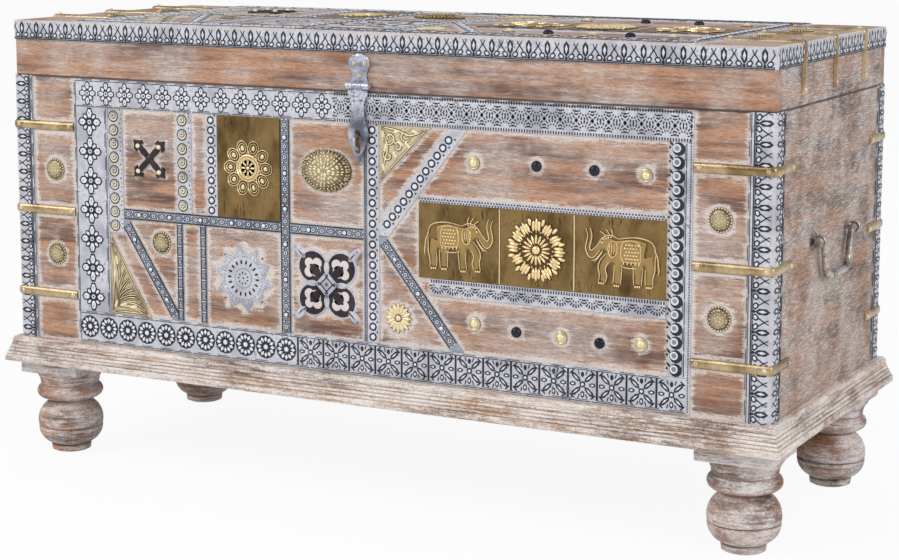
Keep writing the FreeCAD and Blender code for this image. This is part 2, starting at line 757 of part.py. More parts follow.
    def cross(self):
        left = self.left + CRESCENT_W
        right = self.column("crescent")
        reach = (right - left) / 2 - CROSS_MARGIN
        waist = CROSS_W * CROSS_WAIST_SHARE / 2
        arm = prism([(0, -waist), (reach - CROSS_W, -CROSS_W / 2), (reach, 0), (reach - CROSS_W, CROSS_W / 2),
                     (0, waist)], SHEET_T)
        arms = around(arm, 4)
        nails = around(moved(nail_head(NAIL_R, NAIL_H), reach - CROSS_W, 0, SHEET_T), 4)
        piece = fused(arms + [dome(CROSS_W, SHEET_T + PETAL_RISE)] + nails)
        piece.rotate(ORIGIN, Z_AXIS, 45)
        return moved(piece, (left + right) / 2, self.y(CROSS_SHARE))

    def sunflower(self):
        petals = around(petal(0, SUNFLOWER_R, SUNFLOWER_R * PETAL_WIDTH_SHARE, 0, SHEET_T), SUNFLOWER_PETALS)
        piece = fused(petals + [dome(SUNFLOWER_R / 2, SUNFLOWER_R * STUD_RISE_SHARE / 2)])
        return moved(piece, self.x(SUNFLOWER_SHARES[0]), self.y(SUNFLOWER_SHARES[1]))

    def studs(self, radius, places):
        return [moved(dome(radius, radius * STUD_RISE_SHARE), self.x(x), self.y(y)) for x, y in places]

    def medallion(self):
        rim = disc(MEDALLION_R, SHEET_T)
        return rim.fuse(moved(dome(MEDALLION_R - MEDALLION_RIM, MEDALLION_RISE - SHEET_T), 0, 0, SHEET_T))

    def medallions(self):
        """Bosses in the plain margins and one in the field."""
        centre = half_w - (MARGIN_W + CORNER_STRIP_W) / 2
        places = [(side * centre, share * self.panel_h) for side in (-1, 1) for share in MEDALLION_SHARES]
        places.append((self.x(FIELD_MEDALLION_SHARES[0]), self.y(FIELD_MEDALLION_SHARES[1])))
        return [moved(self.medallion(), x, y) for x, y in places]


front = Field(CASE_H)
for name, band in front.bands().items():
    save("front_band_" + name, on_front(band))
save("crescent_strips", [on_front(piece) for piece in front.crescent_strips()])
save("ring_strips", [on_front(piece) for piece in front.ring_strips()])
save("narrow_strips", [on_front(piece) for piece in front.narrow_strips()])
save("lace_strips", [on_front(piece) for piece in front.lace_strips()])
save("leaf_plates", [on_front(piece) for piece in front.leaf_plates()])
save("flower_plate", on_front(front.flower_plate()))
left_plate, rosette_plate, right_plate = front.band_plates()
save("elephant_plate_left", on_front(left_plate))
save("rosette_plate", on_front(rosette_plate))
save("elephant_plate_right", on_front(right_plate))
save("star_plate", on_front(front.star_plate()))
save("scroll_plate", on_front(front.scroll_plate()))
save("oval_boss", on_front(front.oval_boss()))
save("cross_ornament", on_front(front.cross()))
save("medallions", [on_front(piece) for piece in front.medallions()])
brass_studs = [front.sunflower()] + front.studs(BRASS_STUD_R, BRASS_STUD_SHARES)
save("brass_studs", [on_front(piece) for piece in brass_studs])
save("iron_studs", [on_front(piece) for piece in front.studs(IRON_STUD_R, IRON_STUD_SHARES)])


# Lid: a shallow box of rails and a top board, with the bevelled outline of the case

lid_block = case_outline(0.0, seam_z, top_z)
top_edges = [e for e in lid_block.Edges if all(abs(v.Z - top_z) < CORNER_BEVEL / 2 for v in e.Vertexes)]
lid_block = lid_block.makeChamfer(LID_EDGE_BEVEL, top_edges)
board_z = top_z - LID_BOARD_T
save("lid_board", lid_block.common(box(-half_w, half_w, -half_d, half_d, board_z, top_z)))
save("lid_front_rail", lid_block.common(box(-half_w, half_w, -half_d, -side_y, seam_z, board_z)))
save("lid_back_rail", lid_block.common(box(-half_w, half_w, side_y, half_d, seam_z, board_z)))
save("lid_left_rail", box(-half_w, -inner_x, -side_y, side_y, seam_z, board_z))
save("lid_right_rail", box(inner_x, half_w, -side_y, side_y, seam_z, board_z))

rim_high = top_z - LID_EDGE_BEVEL
rim_low = rim_high - RIM_STRIP_H
rim_ring = case_outline(SHEET_T, rim_low, rim_high).cut(case_outline(0.0, rim_low, rim_high))
front_region = box(-half_w - OVERRUN, half_w + OVERRUN, -half_d - OVERRUN, -half_d, rim_low, rim_high)
rim_front = rim_ring.common(front_region)
rim_strips = [rim_front]
for x_side in (-1, 1):
    x_in = x_side * (half_w - CORNER_BEVEL)
    x_out = x_side * (half_w + OVERRUN)
    region = box(min(x_in, x_out), max(x_in, x_out), -half_d, half_d - CORNER_BEVEL, rim_low, rim_high)
    rim_strips.append(rim_ring.common(region))
save("lid_rim_strips", rim_strips)

lid_field = Field(CASE_D)
save("lid_top_bands", [on_top(piece) for piece in lid_field.bands().values()])
save("lid_top_strips", [on_top(piece) for piece in lid_field.crescent_strips() + lid_field.ring_strips()
                        + lid_field.narrow_strips() + lid_field.lace_strips()])
save("lid_top_plates", [on_top(piece) for piece in lid_field.leaf_plates() + [lid_field.flower_plate()]
                        + list(lid_field.band_plates()) + [lid_field.star_plate(), lid_field.scroll_plate()]])
lid_bosses = [lid_field.oval_boss(), lid_field.cross(), lid_field.sunflower()]
lid_bosses += lid_field.studs(BRASS_STUD_R, BRASS_STUD_SHARES)
lid_bosses += lid_field.studs(IRON_STUD_R, IRON_STUD_SHARES)
lid_bosses += lid_field.medallions()
save("lid_top_bosses", [on_top(piece) for piece in lid_bosses])

lid_straps = []
lid_nails = []
for share in LID_STRAP_SHARES:
    y = -half_d + share * CASE_D
    strap = fused([box(half_w - strap_front_l, half_w + strap_out, y - STRAP_W / 2, y + STRAP_W / 2,
                       board_z, top_z + STRAP_T),
                   box(half_w - CORNER_BEVEL, half_w + strap_out, y - STRAP_W / 2, y + STRAP_W / 2,
                       top_z - LID_STRAP_DROP, top_z + STRAP_T)])
    strap = strap.cut(lid_block)
    for strip in rim_strips:
        strap = strap.cut(strip)
    insets = (NAIL_INSET, strap_front_l - NAIL_INSET)
    heads = [moved(nail, half_w - inset, y, top_z + STRAP_T) for inset in insets]
    head = nail.copy()
    head.rotate(ORIGIN, Y_AXIS, 90)
    heads.append(moved(head, half_w + strap_out, y, top_z - LID_STRAP_DROP + NAIL_INSET))
    lid_straps += [strap, half_turned(strap)]
    lid_nails += heads + [half_turned(head) for head in heads]
save("lid_straps", lid_straps)


# Lid hinges: two pairs of leaves with three knuckles each, on the back

def knuckle_rod(x0, x1, y, z, radius):
    return rod(radius, Vector(x0, y, z), Vector(x1, y, z))


def knuckle_barrel(x0, x1, y, z):
    """Rolled barrel, faceted outside; its bore is cut later."""
    blank = facet(ring_points(knuckle_r, knuckle_r, KNUCKLE_SIDES)).extrude(Vector(0, 0, x1 - x0))
    blank.rotate(ORIGIN, Y_AXIS, 90)
    return moved(blank, x0, y, z)


def relief(x0, x1, y, z):
    """Room in a leaf for the barrel of the other leaf."""
    return box(x0, x1, y - relief_r, y + relief_r, z - relief_r, z + relief_r)


hinge_y = half_d + axis_out
body_leaves = []
lid_leaves = []
pins = []
for side in (-1, 1):
    x0 = side * HINGE_SHARE * CASE_W - HINGE_W / 2
    x1 = x0 + HINGE_W
    m0, m1 = (x0 + share * HINGE_W for share in HINGE_KNUCKLE_SHARES)
    outer = ((x0, m0 - KNUCKLE_CLEAR / 2), (m1 + KNUCKLE_CLEAR / 2, x1))
    middle = (m0 + KNUCKLE_CLEAR / 2, m1 - KNUCKLE_CLEAR / 2)
    bore = knuckle_rod(x0 - OVERRUN, x1 + OVERRUN, hinge_y, seam_z, PIN_R + PIN_CLEAR)
    body_leaf = box(x0, x1, half_d, half_d + LEAF_T, seam_z - HINGE_LEAF_H, seam_z - KNUCKLE_CLEAR)
    body_leaf = body_leaf.cut(relief(m0, m1, hinge_y, seam_z))
    lid_leaf = box(x0, x1, half_d, half_d + LEAF_T, seam_z + KNUCKLE_CLEAR, seam_z + HINGE_LEAF_H)
    for a, b in ((x0 - OVERRUN, m0), (m1, x1 + OVERRUN)):
        lid_leaf = lid_leaf.cut(relief(a, b, hinge_y, seam_z))
    roots = [box(a, b, half_d, hinge_y, seam_z - knuckle_r, seam_z - KNUCKLE_CLEAR) for a, b in outer]
    barrels = [knuckle_barrel(a, b, hinge_y, seam_z) for a, b in outer]
    body_leaves.append(fused([body_leaf] + roots + barrels).cut(bore))
    root = box(middle[0], middle[1], half_d, hinge_y, seam_z + KNUCKLE_CLEAR, seam_z + knuckle_r)
    barrel = knuckle_barrel(middle[0], middle[1], hinge_y, seam_z)
    lid_leaves.append(fused([lid_leaf, root, barrel]).cut(bore))
    pins.append(knuckle_rod(x0 - PIN_R / 2, x1 + PIN_R / 2, hinge_y, seam_z, PIN_R))
save("hinge_body_leaves", body_leaves)
save("hinge_lid_leaves", lid_leaves)
save("hinge_pins", pins)

screw = nail_head(HINGE_SCREW_R, HINGE_SCREW_RISE)
screw.rotate(ORIGIN, X_AXIS, -90)
for side in (-1, 1):
    for x_share, z_share in HINGE_SCREW_SHARES:
        x = side * HINGE_SHARE * CASE_W + (x_share - 0.5) * HINGE_W
        y = half_d + LEAF_T
        strap_nails.append(moved(screw, x, y, seam_z - z_share * HINGE_LEAF_H))
        lid_nails.append(moved(screw, x, y, seam_z + z_share * HINGE_LEAF_H))
save("case_nails", strap_nails)


# Hasp: a plate on the lid, a pin and a hanging leaf whose slot clears the staple

hasp_y = -half_d - axis_out
k0, k1 = ((share - 0.5) * HASP_BARREL_L for share in HASP_KNUCKLE_SHARES)
b0, b1 = -HASP_BARREL_L / 2, HASP_BARREL_L / 2
hasp_bore = knuckle_rod(b0 - OVERRUN, b1 + OVERRUN, hasp_y, hasp_axis_z, PIN_R + PIN_CLEAR)

plate_face = mirrored_face(HASP_PLATE_SHARES, HASP_PLATE_HALF_W, HASP_PLATE_H)
hasp_plate = plate_face.extrude(Vector(0, 0, LEAF_T))
hasp_plate.rotate(ORIGIN, X_AXIS, 90)
hasp_plate.translate(Vector(0, -half_d, hasp_axis_z + KNUCKLE_CLEAR))
hasp_plate = hasp_plate.cut(relief(k0, k1, hasp_y, hasp_axis_z))
wings = []
for a, b in ((b0, k0 - KNUCKLE_CLEAR / 2), (k1 + KNUCKLE_CLEAR / 2, b1)):
    wings.append(box(a, b, hasp_y, -half_d, hasp_axis_z + KNUCKLE_CLEAR, hasp_axis_z + knuckle_r))
    wings.append(knuckle_barrel(a, b, hasp_y, hasp_axis_z))
save("hasp_plate", fused([hasp_plate] + wings).cut(hasp_bore))
save("hasp_pin", knuckle_rod(b0 - PIN_R / 2, b1 + PIN_R / 2, hasp_y, hasp_axis_z, PIN_R))

hasp_nail = nail.copy()
hasp_nail.rotate(ORIGIN, X_AXIS, 90)
lid_nails += [moved(hasp_nail, x * HASP_PLATE_HALF_W, -half_d - LEAF_T, hasp_axis_z + y * HASP_PLATE_H)
              for x, y in HASP_NAIL_SHARES]
save("lid_nails", lid_nails)


leaf_face = mirrored_face(HASP_LEAF_SHARES, HASP_LEAF_HALF_W, -HASP_LEAF_L)
leaf = leaf_face.extrude(Vector(0, 0, HASP_LEAF_T))
slot_r = SLOT_W / 2
slot_reach = SLOT_L / 2 - slot_r
slot = fused([box(-slot_r, slot_r, -STAPLE_DROP - slot_reach, -STAPLE_DROP + slot_reach, -OVERRUN, OVERRUN)]
             + [moved(disc(slot_r, 2 * OVERRUN, -OVERRUN), 0, -STAPLE_DROP + side * slot_reach)
                for side in (-1, 1)])
leaf = leaf.cut(slot)
leaf.rotate(ORIGIN, X_AXIS, 90)
leaf.translate(Vector(0, hasp_y + HASP_LEAF_T / 2, hasp_axis_z))
t0, t1 = k0 + KNUCKLE_CLEAR / 2, k1 - KNUCKLE_CLEAR / 2
tongue = box(t0, t1, hasp_y - HASP_LEAF_T / 2, hasp_y + HASP_LEAF_T / 2,
             hasp_axis_z - relief_r - HASP_LEAF_T, hasp_axis_z)
barrel = knuckle_barrel(t0, t1, hasp_y, hasp_axis_z)
for a, b in ((b0 - OVERRUN, k0), (k1, b1 + OVERRUN)):
    leaf = leaf.cut(relief(a, b, hasp_y, hasp_axis_z))
save("hasp_leaf", fused([leaf, tongue, barrel]).cut(hasp_bore))

loop_y = -half_d - STAPLE_OUT + STAPLE_ROD_R + STAPLE_HALF
clinch_y = -half_d + BOARD_T + STAPLE_CLINCH
legs = [Vector(0, loop_y, staple_z + side * STAPLE_HALF) for side in (-1, 1)]
ends = [Vector(0, clinch_y, leg.z) for leg in legs]
apex = Vector(0, loop_y - STAPLE_HALF, staple_z)
loop = Part.Wire([Part.makeLine(ends[0], legs[0]), Part.Arc(legs[0], apex, legs[1]).toShape(),
                  Part.makeLine(legs[1], ends[1])])
save("staple", bent_rod(loop, STAPLE_ROD_R))


# Bails: a bent rod in two eyes on each side

eye_z = case_z + EYE_RISE_SHARE * CASE_H
bail_x = half_w + BAIL_STANDOFF


def eye(y):
    base = on_right(moved(boss(EYE_BASE_R, EYE_BASE_R, EYE_BASE_T, EYE_SIDES, NAIL_RING_SHARES), y, eye_z))
    neck = box(half_w, bail_x, y - EYE_W / 2, y + EYE_W / 2, eye_z - EYE_NECK_H / 2, eye_z + EYE_NECK_H / 2)
    ring = faceted_rod(EYE_R, bail_x, y - EYE_W / 2, y + EYE_W / 2, eye_z)
    bore = rod(BAIL_ROD_R + BAIL_CLEAR, Vector(bail_x, y - EYE_W, eye_z), Vector(bail_x, y + EYE_W, eye_z))
    return fused([base, neck, ring]).cut(bore)


def bail():
    end_y = EYE_HALF_SPAN + BAIL_END
    outline = [(-end_y, 0), (-BAIL_CORNER_HALF, 0), (-BAIL_FOOT_HALF, -BAIL_DROP),
               (BAIL_FOOT_HALF, -BAIL_DROP), (BAIL_CORNER_HALF, 0), (end_y, 0)]
    points = [Vector(bail_x, y, eye_z + z) for y, z in outline]
    path = rounded_path(points, (BAIL_TOP_BEND_R, BAIL_LOW_BEND_R, BAIL_LOW_BEND_R, BAIL_TOP_BEND_R))
    buttons = [faceted_rod(BAIL_BUTTON_R, bail_x, y - BAIL_BUTTON_T, y, eye_z)
               for y in (end_y, BAIL_BUTTON_T - end_y)]
    return fused([bent_rod(path, BAIL_ROD_R)] + buttons)


eyes = [eye(side * EYE_HALF_SPAN) for side in (-1, 1)]
right_bail = bail()
save("bail_eyes_right", eyes)
save("bail_eyes_left", [half_turned(piece) for piece in eyes])
save("bail_right", right_bail)
save("bail_left", half_turned(right_bail))
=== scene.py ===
import logging
import math
import random
from dataclasses import dataclass, replace
from enum import Enum
from typing import Callable, Iterable, Sequence

import bmesh
import bpy
from mathutils import Matrix, Vector
from mathutils.bvhtree import BVHTree


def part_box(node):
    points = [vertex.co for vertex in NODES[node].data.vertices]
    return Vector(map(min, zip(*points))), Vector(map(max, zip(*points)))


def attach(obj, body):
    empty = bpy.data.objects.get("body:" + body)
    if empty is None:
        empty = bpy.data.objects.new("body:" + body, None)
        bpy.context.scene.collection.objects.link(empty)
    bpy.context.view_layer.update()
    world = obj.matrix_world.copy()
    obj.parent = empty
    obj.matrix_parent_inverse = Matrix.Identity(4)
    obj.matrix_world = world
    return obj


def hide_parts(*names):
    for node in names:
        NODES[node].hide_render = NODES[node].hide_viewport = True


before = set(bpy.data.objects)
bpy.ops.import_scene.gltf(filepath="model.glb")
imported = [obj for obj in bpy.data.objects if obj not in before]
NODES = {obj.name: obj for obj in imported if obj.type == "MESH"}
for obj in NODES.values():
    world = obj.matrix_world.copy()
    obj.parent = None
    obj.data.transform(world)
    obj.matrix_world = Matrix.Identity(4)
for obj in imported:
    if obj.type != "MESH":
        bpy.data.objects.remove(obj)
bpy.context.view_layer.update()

# Dowry chest of whitewashed boards with pressed sheet-metal cladding. Sizes are in millimetres, and
# MM turns them into Blender's metres. A motif is pressed on the XY plane and then put on a board.

log = logging.getLogger("chest")
logging.basicConfig(level=logging.INFO, format="%(message)s")

Piece = bpy.types.Object
Socket = bpy.types.NodeSocket
Colour = tuple[int, int, int]
Point = tuple[float, float]

MM = 0.001
SHEET = 1.5
SUNK = 0.2
BRIGHT = 0.8


def paint(red: int, green: int, blue: int) -> tuple[float, float, float, float]:
    """A colour written in 0 to 255 display values, as the linear colour that a shader takes."""
    def linear(value: int) -> float:
        part = value / 255
        return part / 12.92 if part <= 0.04045 else ((part + 0.055) / 1.055) ** 2.4
    return (linear(red), linear(green), linear(blue), 1.0)


# Finishes

class Grain(Enum):
    """The way the grain and the brush strokes run, as noise cycles per metre along X, Y and Z."""
    ALONG_X = (1.0, 11.0, 11.0)
    ALONG_Y = (11.0, 1.0, 11.0)
    TURNED = (1.6, 1.6, 13.0)


class Graph:
    """The nodes of a material or of the world, with short calls for what the finishes share."""

    def __init__(self, owner: bpy.types.Material | bpy.types.World) -> None:
        """Empties the owner's tree."""
        owner.use_nodes = True
        self.owner = owner
        self.tree = owner.node_tree
        self.tree.nodes.clear()

    def add(self, kind: str, inputs: dict[str | int, object] | None = None,
            **settings: object) -> bpy.types.Node:
        """A node with its settings, and its inputs linked or set to plain values."""
        node = self.tree.nodes.new("ShaderNode" + kind)
        for name, value in settings.items():
            setattr(node, name, value)
        for key, value in (inputs or {}).items():
            if isinstance(value, Socket):
                self.tree.links.new(value, node.inputs[key])
            elif value is not None:
                node.inputs[key].default_value = value
        return node

    def coords(self, scale: Sequence[float] = (1.0, 1.0, 1.0), tilt: float = 0.0) -> Socket:
        """Object coordinates, stretched by a scale and tilted about X by degrees."""
        place = self.add("TexCoord").outputs["Object"]
        inputs = {"Vector": place, "Scale": scale, "Rotation": (math.radians(tilt), 0.0, 0.0)}
        return self.add("Mapping", inputs).outputs["Vector"]

    def noise(self, coords: Socket, scale: float, detail: float = 3.0, roughness: float = 0.55,
              distortion: float = 0.0) -> Socket:
        """A noise pattern from 0 to 1."""
        inputs = {"Vector": coords, "Scale": scale, "Detail": detail, "Roughness": roughness,
                  "Distortion": distortion}
        return self.add("TexNoise", inputs).outputs["Fac"]

    def cells(self, coords: Socket, scale: float) -> Socket:
        """Distance to the middle of the nearest dent of a hammered surface."""
        inputs = {"Vector": coords, "Scale": scale}
        return self.add("TexVoronoi", inputs, feature="SMOOTH_F1").outputs["Distance"]

    def height(self, output: str = "Object") -> Socket:
        """Height over the floor in metres, or how far the face looks up with the output Normal."""
        source = self.add("TexCoord").outputs[output]
        return self.add("SeparateXYZ", {"Vector": source}).outputs["Z"]

    def attribute(self, name: str) -> Socket:
        """A value painted on the mesh's points, 0 where it has none."""
        return self.add("Attribute", attribute_name=name).outputs["Fac"]

    def math(self, operation: str, first: object, second: object) -> Socket:
        """One sum of two values."""
        return self.add("Math", {0: first, 1: second}, operation=operation).outputs[0]

    def weighed(self, *parts: tuple[Socket, float]) -> Socket:
        """The sum of values, each times its weight."""
        total, *others = [self.math("MULTIPLY", value, weight) for value, weight in parts]
        for other in others:
            total = self.math("ADD", total, other)
        return total

    def step(self, value: Socket, low: float, high: float, to_low: float = 0.0,
            to_high: float = 1.0) -> Socket:
        """A smooth step of a value between two marks."""
        inputs = {"Value": value, "From Min": low, "From Max": high, "To Min": to_low, "To Max": to_high}
        return self.add("MapRange", inputs, interpolation_type="SMOOTHSTEP").outputs["Result"]

    def mix(self, factor: object, first: Socket | Colour, second: Socket | Colour) -> Socket:
        """Two colours mixed by a factor."""
        first, second = (paint(*tint) if isinstance(tint, tuple) else tint for tint in (first, second))
        return self.add("Mix", {0: factor, 6: first, 7: second}, data_type="RGBA").outputs[2]

    def bump(self, height: Socket, distance: float, strength: float = 1.0,
            below: Socket | None = None) -> Socket:
        """A bump of a depth in millimetres, over the one below it."""
        inputs = {"Strength": strength, "Distance": distance * MM, "Height": height, "Normal": below}
        return self.add("Bump", inputs).outputs["Normal"]

    def surface(self, colour: Socket, rough: object, metallic: float = 0.0, normal: Socket | None = None,
                specular: float = 0.5) -> Socket:
        """The shader of a surface."""
        inputs = {"Base Color": colour, "Roughness": rough, "Metallic": metallic, "Normal": normal,
                  "Specular IOR Level": specular}
        return self.add("BsdfPrincipled", inputs).outputs["BSDF"]

    def finish(self, shader: Socket) -> bpy.types.Material:
        """Puts a shader on the output and gives the material."""
        self.add("OutputMaterial", {"Surface": shader})
        return self.owner


@dataclass(frozen=True)
class Wood:
    """Boards with thinned whitewash brushed over them and rubbed back along the grain."""
    name: str
    slot: str
    grain: Grain
    bare: Colour
    deep: Colour
    wash: Colour
    haze: float = 0.3
    cover: float = 0.3
    scratches: float = 0.0
    tilt: float = 0.0
    shaded_grooves: bool = False
    patchy: float = 0.25
    seam_shadow: bool = False

    def material(self) -> bpy.types.Material:
        """The wood's material, made once."""
        made = bpy.data.materials.get(self.name)
        if made:
            return made
        graph = Graph(bpy.data.materials.new(self.name))
        along, plain = graph.coords(self.grain.value), graph.coords()
        fibres = graph.noise(along, 120.0, 5.0, 0.74)
        strokes = graph.noise(along, 20.0, 4.0, 0.62, 0.5)
        patches = graph.noise(along, 5.0, 3.0, 0.5, 0.7)
        clouds = graph.noise(plain, 11.0, 4.0, 0.6)
        speckle = graph.noise(plain, 330.0, 2.0, 0.6)
        wood = graph.mix(graph.step(patches, 0.34, 0.64), self.deep, self.bare)
        wood = graph.mix(graph.step(fibres, 0.34, 0.53, 0.8, 0.0), wood, self.deep)
        wood = graph.mix(graph.step(strokes, 0.58, 0.75, 0.0, 0.4), wood, WARM_STREAK)
        veil = graph.math("ADD", graph.step(clouds, 0.35, 0.68, self.haze * 0.2, self.haze * 1.8),
            graph.step(strokes, 0.4, 0.62, -0.1, 0.14))
        veil = graph.math("MULTIPLY", veil, graph.step(fibres, 0.36, 0.6, 0.5, 1.3))
        colour = graph.mix(veil, wood, graph.mix(patches, self.wash, GREY_HAZE))
        worn = graph.weighed((strokes, 0.45), (fibres, 0.4), (clouds, self.patchy), (speckle, 0.2),
            (graph.attribute("rub"), 0.3))
        mark = 0.76 + 0.5 * self.patchy - 0.28 * self.cover
        washed = graph.step(worn, mark - 0.05, mark + 0.12)
        if self.scratches:
            hatch = graph.noise(graph.coords(self.grain.value, self.tilt), 60.0, 4.0, 0.7, 0.2)
            lines = graph.math("MULTIPLY", graph.step(hatch, 0.5, 0.6, 0.0, self.scratches),
                graph.step(clouds, 0.3, 0.6, 0.35, 1.0))
            washed = graph.math("MAXIMUM", washed, lines)
        # Painted shade: less wash and a darker colour in the grooves of mouldings and turnings, where the
        # lift is low.
        if self.shaded_grooves:
            lift = graph.attribute("lift")
            washed = graph.math("MULTIPLY", washed, graph.step(lift, 0.1, 0.9, 0.25, 1.0))
            colour = graph.mix(graph.step(lift, 0.0, 0.55, 0.6, 0.0), colour, self.deep)
        colour = graph.mix(graph.math("MULTIPLY", washed, 0.85), colour, self.wash)
        grit = graph.step(graph.noise(along, 260.0, 3.0, 0.85), 0.34, 0.5, 0.75, 0.0)
        colour = graph.mix(grit, colour, self.deep)
        # Painted shadow: a dark line on the upright faces along the gap between lid and case.
        if self.seam_shadow:
            height = graph.math("SUBTRACT", graph.height(), CHEST.seam_z * MM)
            near = graph.step(graph.math("ABSOLUTE", height, 0.0), 0.0009, 0.0022, 0.85, 0.0)
            level = graph.step(graph.math("ABSOLUTE", graph.height("Normal"), 0.0), 0.4, 0.6, 1.0, 0.0)
            colour = graph.mix(graph.math("MULTIPLY", near, level), colour, SEAM_SHADE)
        waves = graph.bump(patches, 1.2, 0.3)
        normal = graph.bump(graph.weighed((fibres, 0.7), (washed, 0.4)), 0.4, 0.6, waves)
        rough = graph.step(strokes, 0.3, 0.7, 0.5, 0.78)
        return graph.finish(graph.surface(colour, rough, 0.0, normal, 0.35))


@dataclass(frozen=True)
class Metal:
    """Sheet or forged metal with patina in its low places and wear on its high ones; where it is raised, the
    colour by height is also painted shade in its hollows and a painted highlight on its tops.
    """
    name: str
    slot: str
    # high and low are the colours of tops and hollows: wear and patina, and on raised metal also painted
    # highlight and painted shade.
    high: Colour
    low: Colour
    grime: Colour
    metallic: float = 0.5
    rough: float = 0.45
    dirt: float = 0.4
    dent: float = 0.25
    dent_scale: float = 160.0
    raised: bool = True
    stretch: tuple[float, float, float] = (1.0, 1.0, 1.0)

    def material(self) -> bpy.types.Material:
        """The metal's material, made once."""
        made = bpy.data.materials.get(self.name)
        if made:
            return made
        graph = Graph(bpy.data.materials.new(self.name))
        pulled = graph.coords(self.stretch)
        clouds = graph.noise(pulled, 26.0, 4.0, 0.6, 0.3)
        spots = graph.noise(pulled, 300.0, 3.0, 0.7)
        dents = graph.cells(graph.coords(), self.dent_scale)
        # Colour by lift: patina low down and wear on top, and also painted shade in the hollows and painted
        # highlight on the tops of raised metal.
        if self.raised:
            uneven = graph.math("MULTIPLY", graph.math("SUBTRACT", clouds, 0.5), 0.5)
            level = graph.step(graph.math("ADD", graph.attribute("lift"), uneven), 0.1, 0.75)
        else:
            level = graph.step(clouds, 0.3, 0.62)
        mask = graph.weighed((clouds, 0.5), (spots, 0.5))
        mark = 0.62 - 0.2 * self.dirt
        wear_and_painted_light = graph.mix(level, self.low, self.high)
        colour = graph.mix(graph.step(mask, mark, mark + 0.16, 0.0, 0.85), wear_and_painted_light, self.grime)
        normal = graph.bump(graph.weighed((dents, 0.8), (spots, 0.35)), self.dent, 0.8)
        rough = graph.step(mask, 0.35, 0.65, self.rough - 0.08, self.rough + 0.2)
        return graph.finish(graph.surface(colour, rough, self.metallic, normal))


WASH = (228, 219, 211)
WARM_STREAK = (206, 150, 108)
GREY_HAZE = (188, 171, 164)
# SEAM_SHADE is the painted shadow in the gap between lid and case.
SEAM_SHADE = (52, 38, 32)

CASE_WOOD = Wood("whitewashed_wood_long", "case_wood", Grain.ALONG_X, (196, 146, 110), (108, 76, 62), WASH,
    haze=0.34, cover=0.5, seam_shadow=True)
SIDE_WOOD = Wood("whitewashed_wood_side", "case_wood", Grain.ALONG_Y, (168, 124, 94), (84, 64, 54),
    (226, 219, 212), haze=0.36, cover=0.5, scratches=1.0, tilt=32.0, seam_shadow=True)
INNER_WOOD = Wood("oiled_wood", "inner_wood", Grain.ALONG_X, (158, 112, 80), (112, 76, 54), (176, 140, 112),
    haze=0.05, cover=0.0)
PLINTH_WOOD = Wood("washed_moulding_long", "plinth_wood", Grain.ALONG_X, (198, 160, 122), (112, 84, 68),
    (244, 237, 229), haze=0.42, cover=1.0, shaded_grooves=True)
PLINTH_SIDE_WOOD = replace(PLINTH_WOOD, name="washed_moulding_side", grain=Grain.ALONG_Y)
FOOT_WOOD = Wood("washed_turning", "foot_wood", Grain.TURNED, (184, 130, 96), (86, 64, 54), (236, 230, 226),
    haze=0.42, cover=0.85, shaded_grooves=True, patchy=0.6)
BLOCK_WOOD = Wood("washed_block", "foot_wood", Grain.ALONG_X, (176, 140, 118), (116, 92, 82),
    (232, 227, 224), haze=0.75, cover=1.0)

WHITE_SHEET = Metal("white_sheet", "white_metal", (212, 212, 218), (168, 169, 178), (92, 94, 106),
    metallic=0.2, rough=0.48, dirt=0.48, dent=0.4, raised=False)
WHITE_RELIEF = Metal("white_relief", "white_metal", (226, 227, 233), (64, 68, 80), (140, 144, 156),
    metallic=0.15, rough=0.42, dirt=0.3, dent=0.2)
PATINA = Metal("dark_patina", "white_metal", (44, 48, 58), (26, 30, 38), (96, 100, 112), metallic=0.3,
    rough=0.5, dirt=0.2, dent=0.15, raised=False)
BLUE_SHEET = Metal("blue_sheet", "dark_metal", (160, 166, 178), (112, 118, 130), (70, 76, 88),
    metallic=0.35, rough=0.42, dirt=0.4, dent=0.25, raised=False)
BLUE_RELIEF = Metal("blue_relief", "dark_metal", (214, 218, 226), (60, 66, 80), (140, 146, 158),
    metallic=0.3, rough=0.42, dirt=0.3, dent=0.15)
GILT_SHEET = Metal("gilt_sheet", "old_brass", (206, 194, 166), (160, 142, 108), (112, 90, 58), metallic=0.3,
    rough=0.42, dirt=0.42, dent=0.3, raised=False)
GILT_RELIEF = Metal("gilt_relief", "old_brass", (242, 226, 184), (84, 64, 36), (140, 112, 68), metallic=0.5,
    rough=0.32, dirt=0.35, dent=0.25)
BRASS_SHEET = Metal("brass_sheet", "old_brass", (144, 117, 72), (90, 69, 38), (72, 54, 32), metallic=0.75,
    rough=0.34, dirt=0.34, dent=1.5, dent_scale=38.0, raised=False, stretch=(1.2, 0.6, 0.6))
BRASS_BODY = Metal("brass_body", "old_brass", (172, 142, 90), (84, 62, 32), (96, 73, 42), metallic=0.75,
    rough=0.34, dirt=0.3, dent=0.7, dent_scale=70.0)
BRASS_RELIEF = Metal("brass_relief", "old_brass", (246, 222, 172), (78, 56, 28), (120, 90, 48),
    metallic=0.75, rough=0.27, dirt=0.2, dent=0.4, dent_scale=120.0)
STRAP_BRASS = Metal("strap_brass", "old_brass", (200, 178, 138), (132, 108, 72), (78, 62, 42), metallic=0.8,
    rough=0.26, dirt=0.42, dent=0.45, dent_scale=60.0, raised=False)
NAIL_COPPER = Metal("nail_copper", "old_brass", (226, 206, 188), (178, 146, 122), (130, 100, 82),
    metallic=0.6, rough=0.3, dirt=0.25, dent=0.2, dent_scale=120.0, raised=False)
BLACK_IRON = Metal("blackened_iron", "black_iron", (62, 54, 58), (34, 28, 32), (104, 88, 82), metallic=0.6,
    rough=0.32, dirt=0.3, dent=0.5, dent_scale=90.0, raised=False)
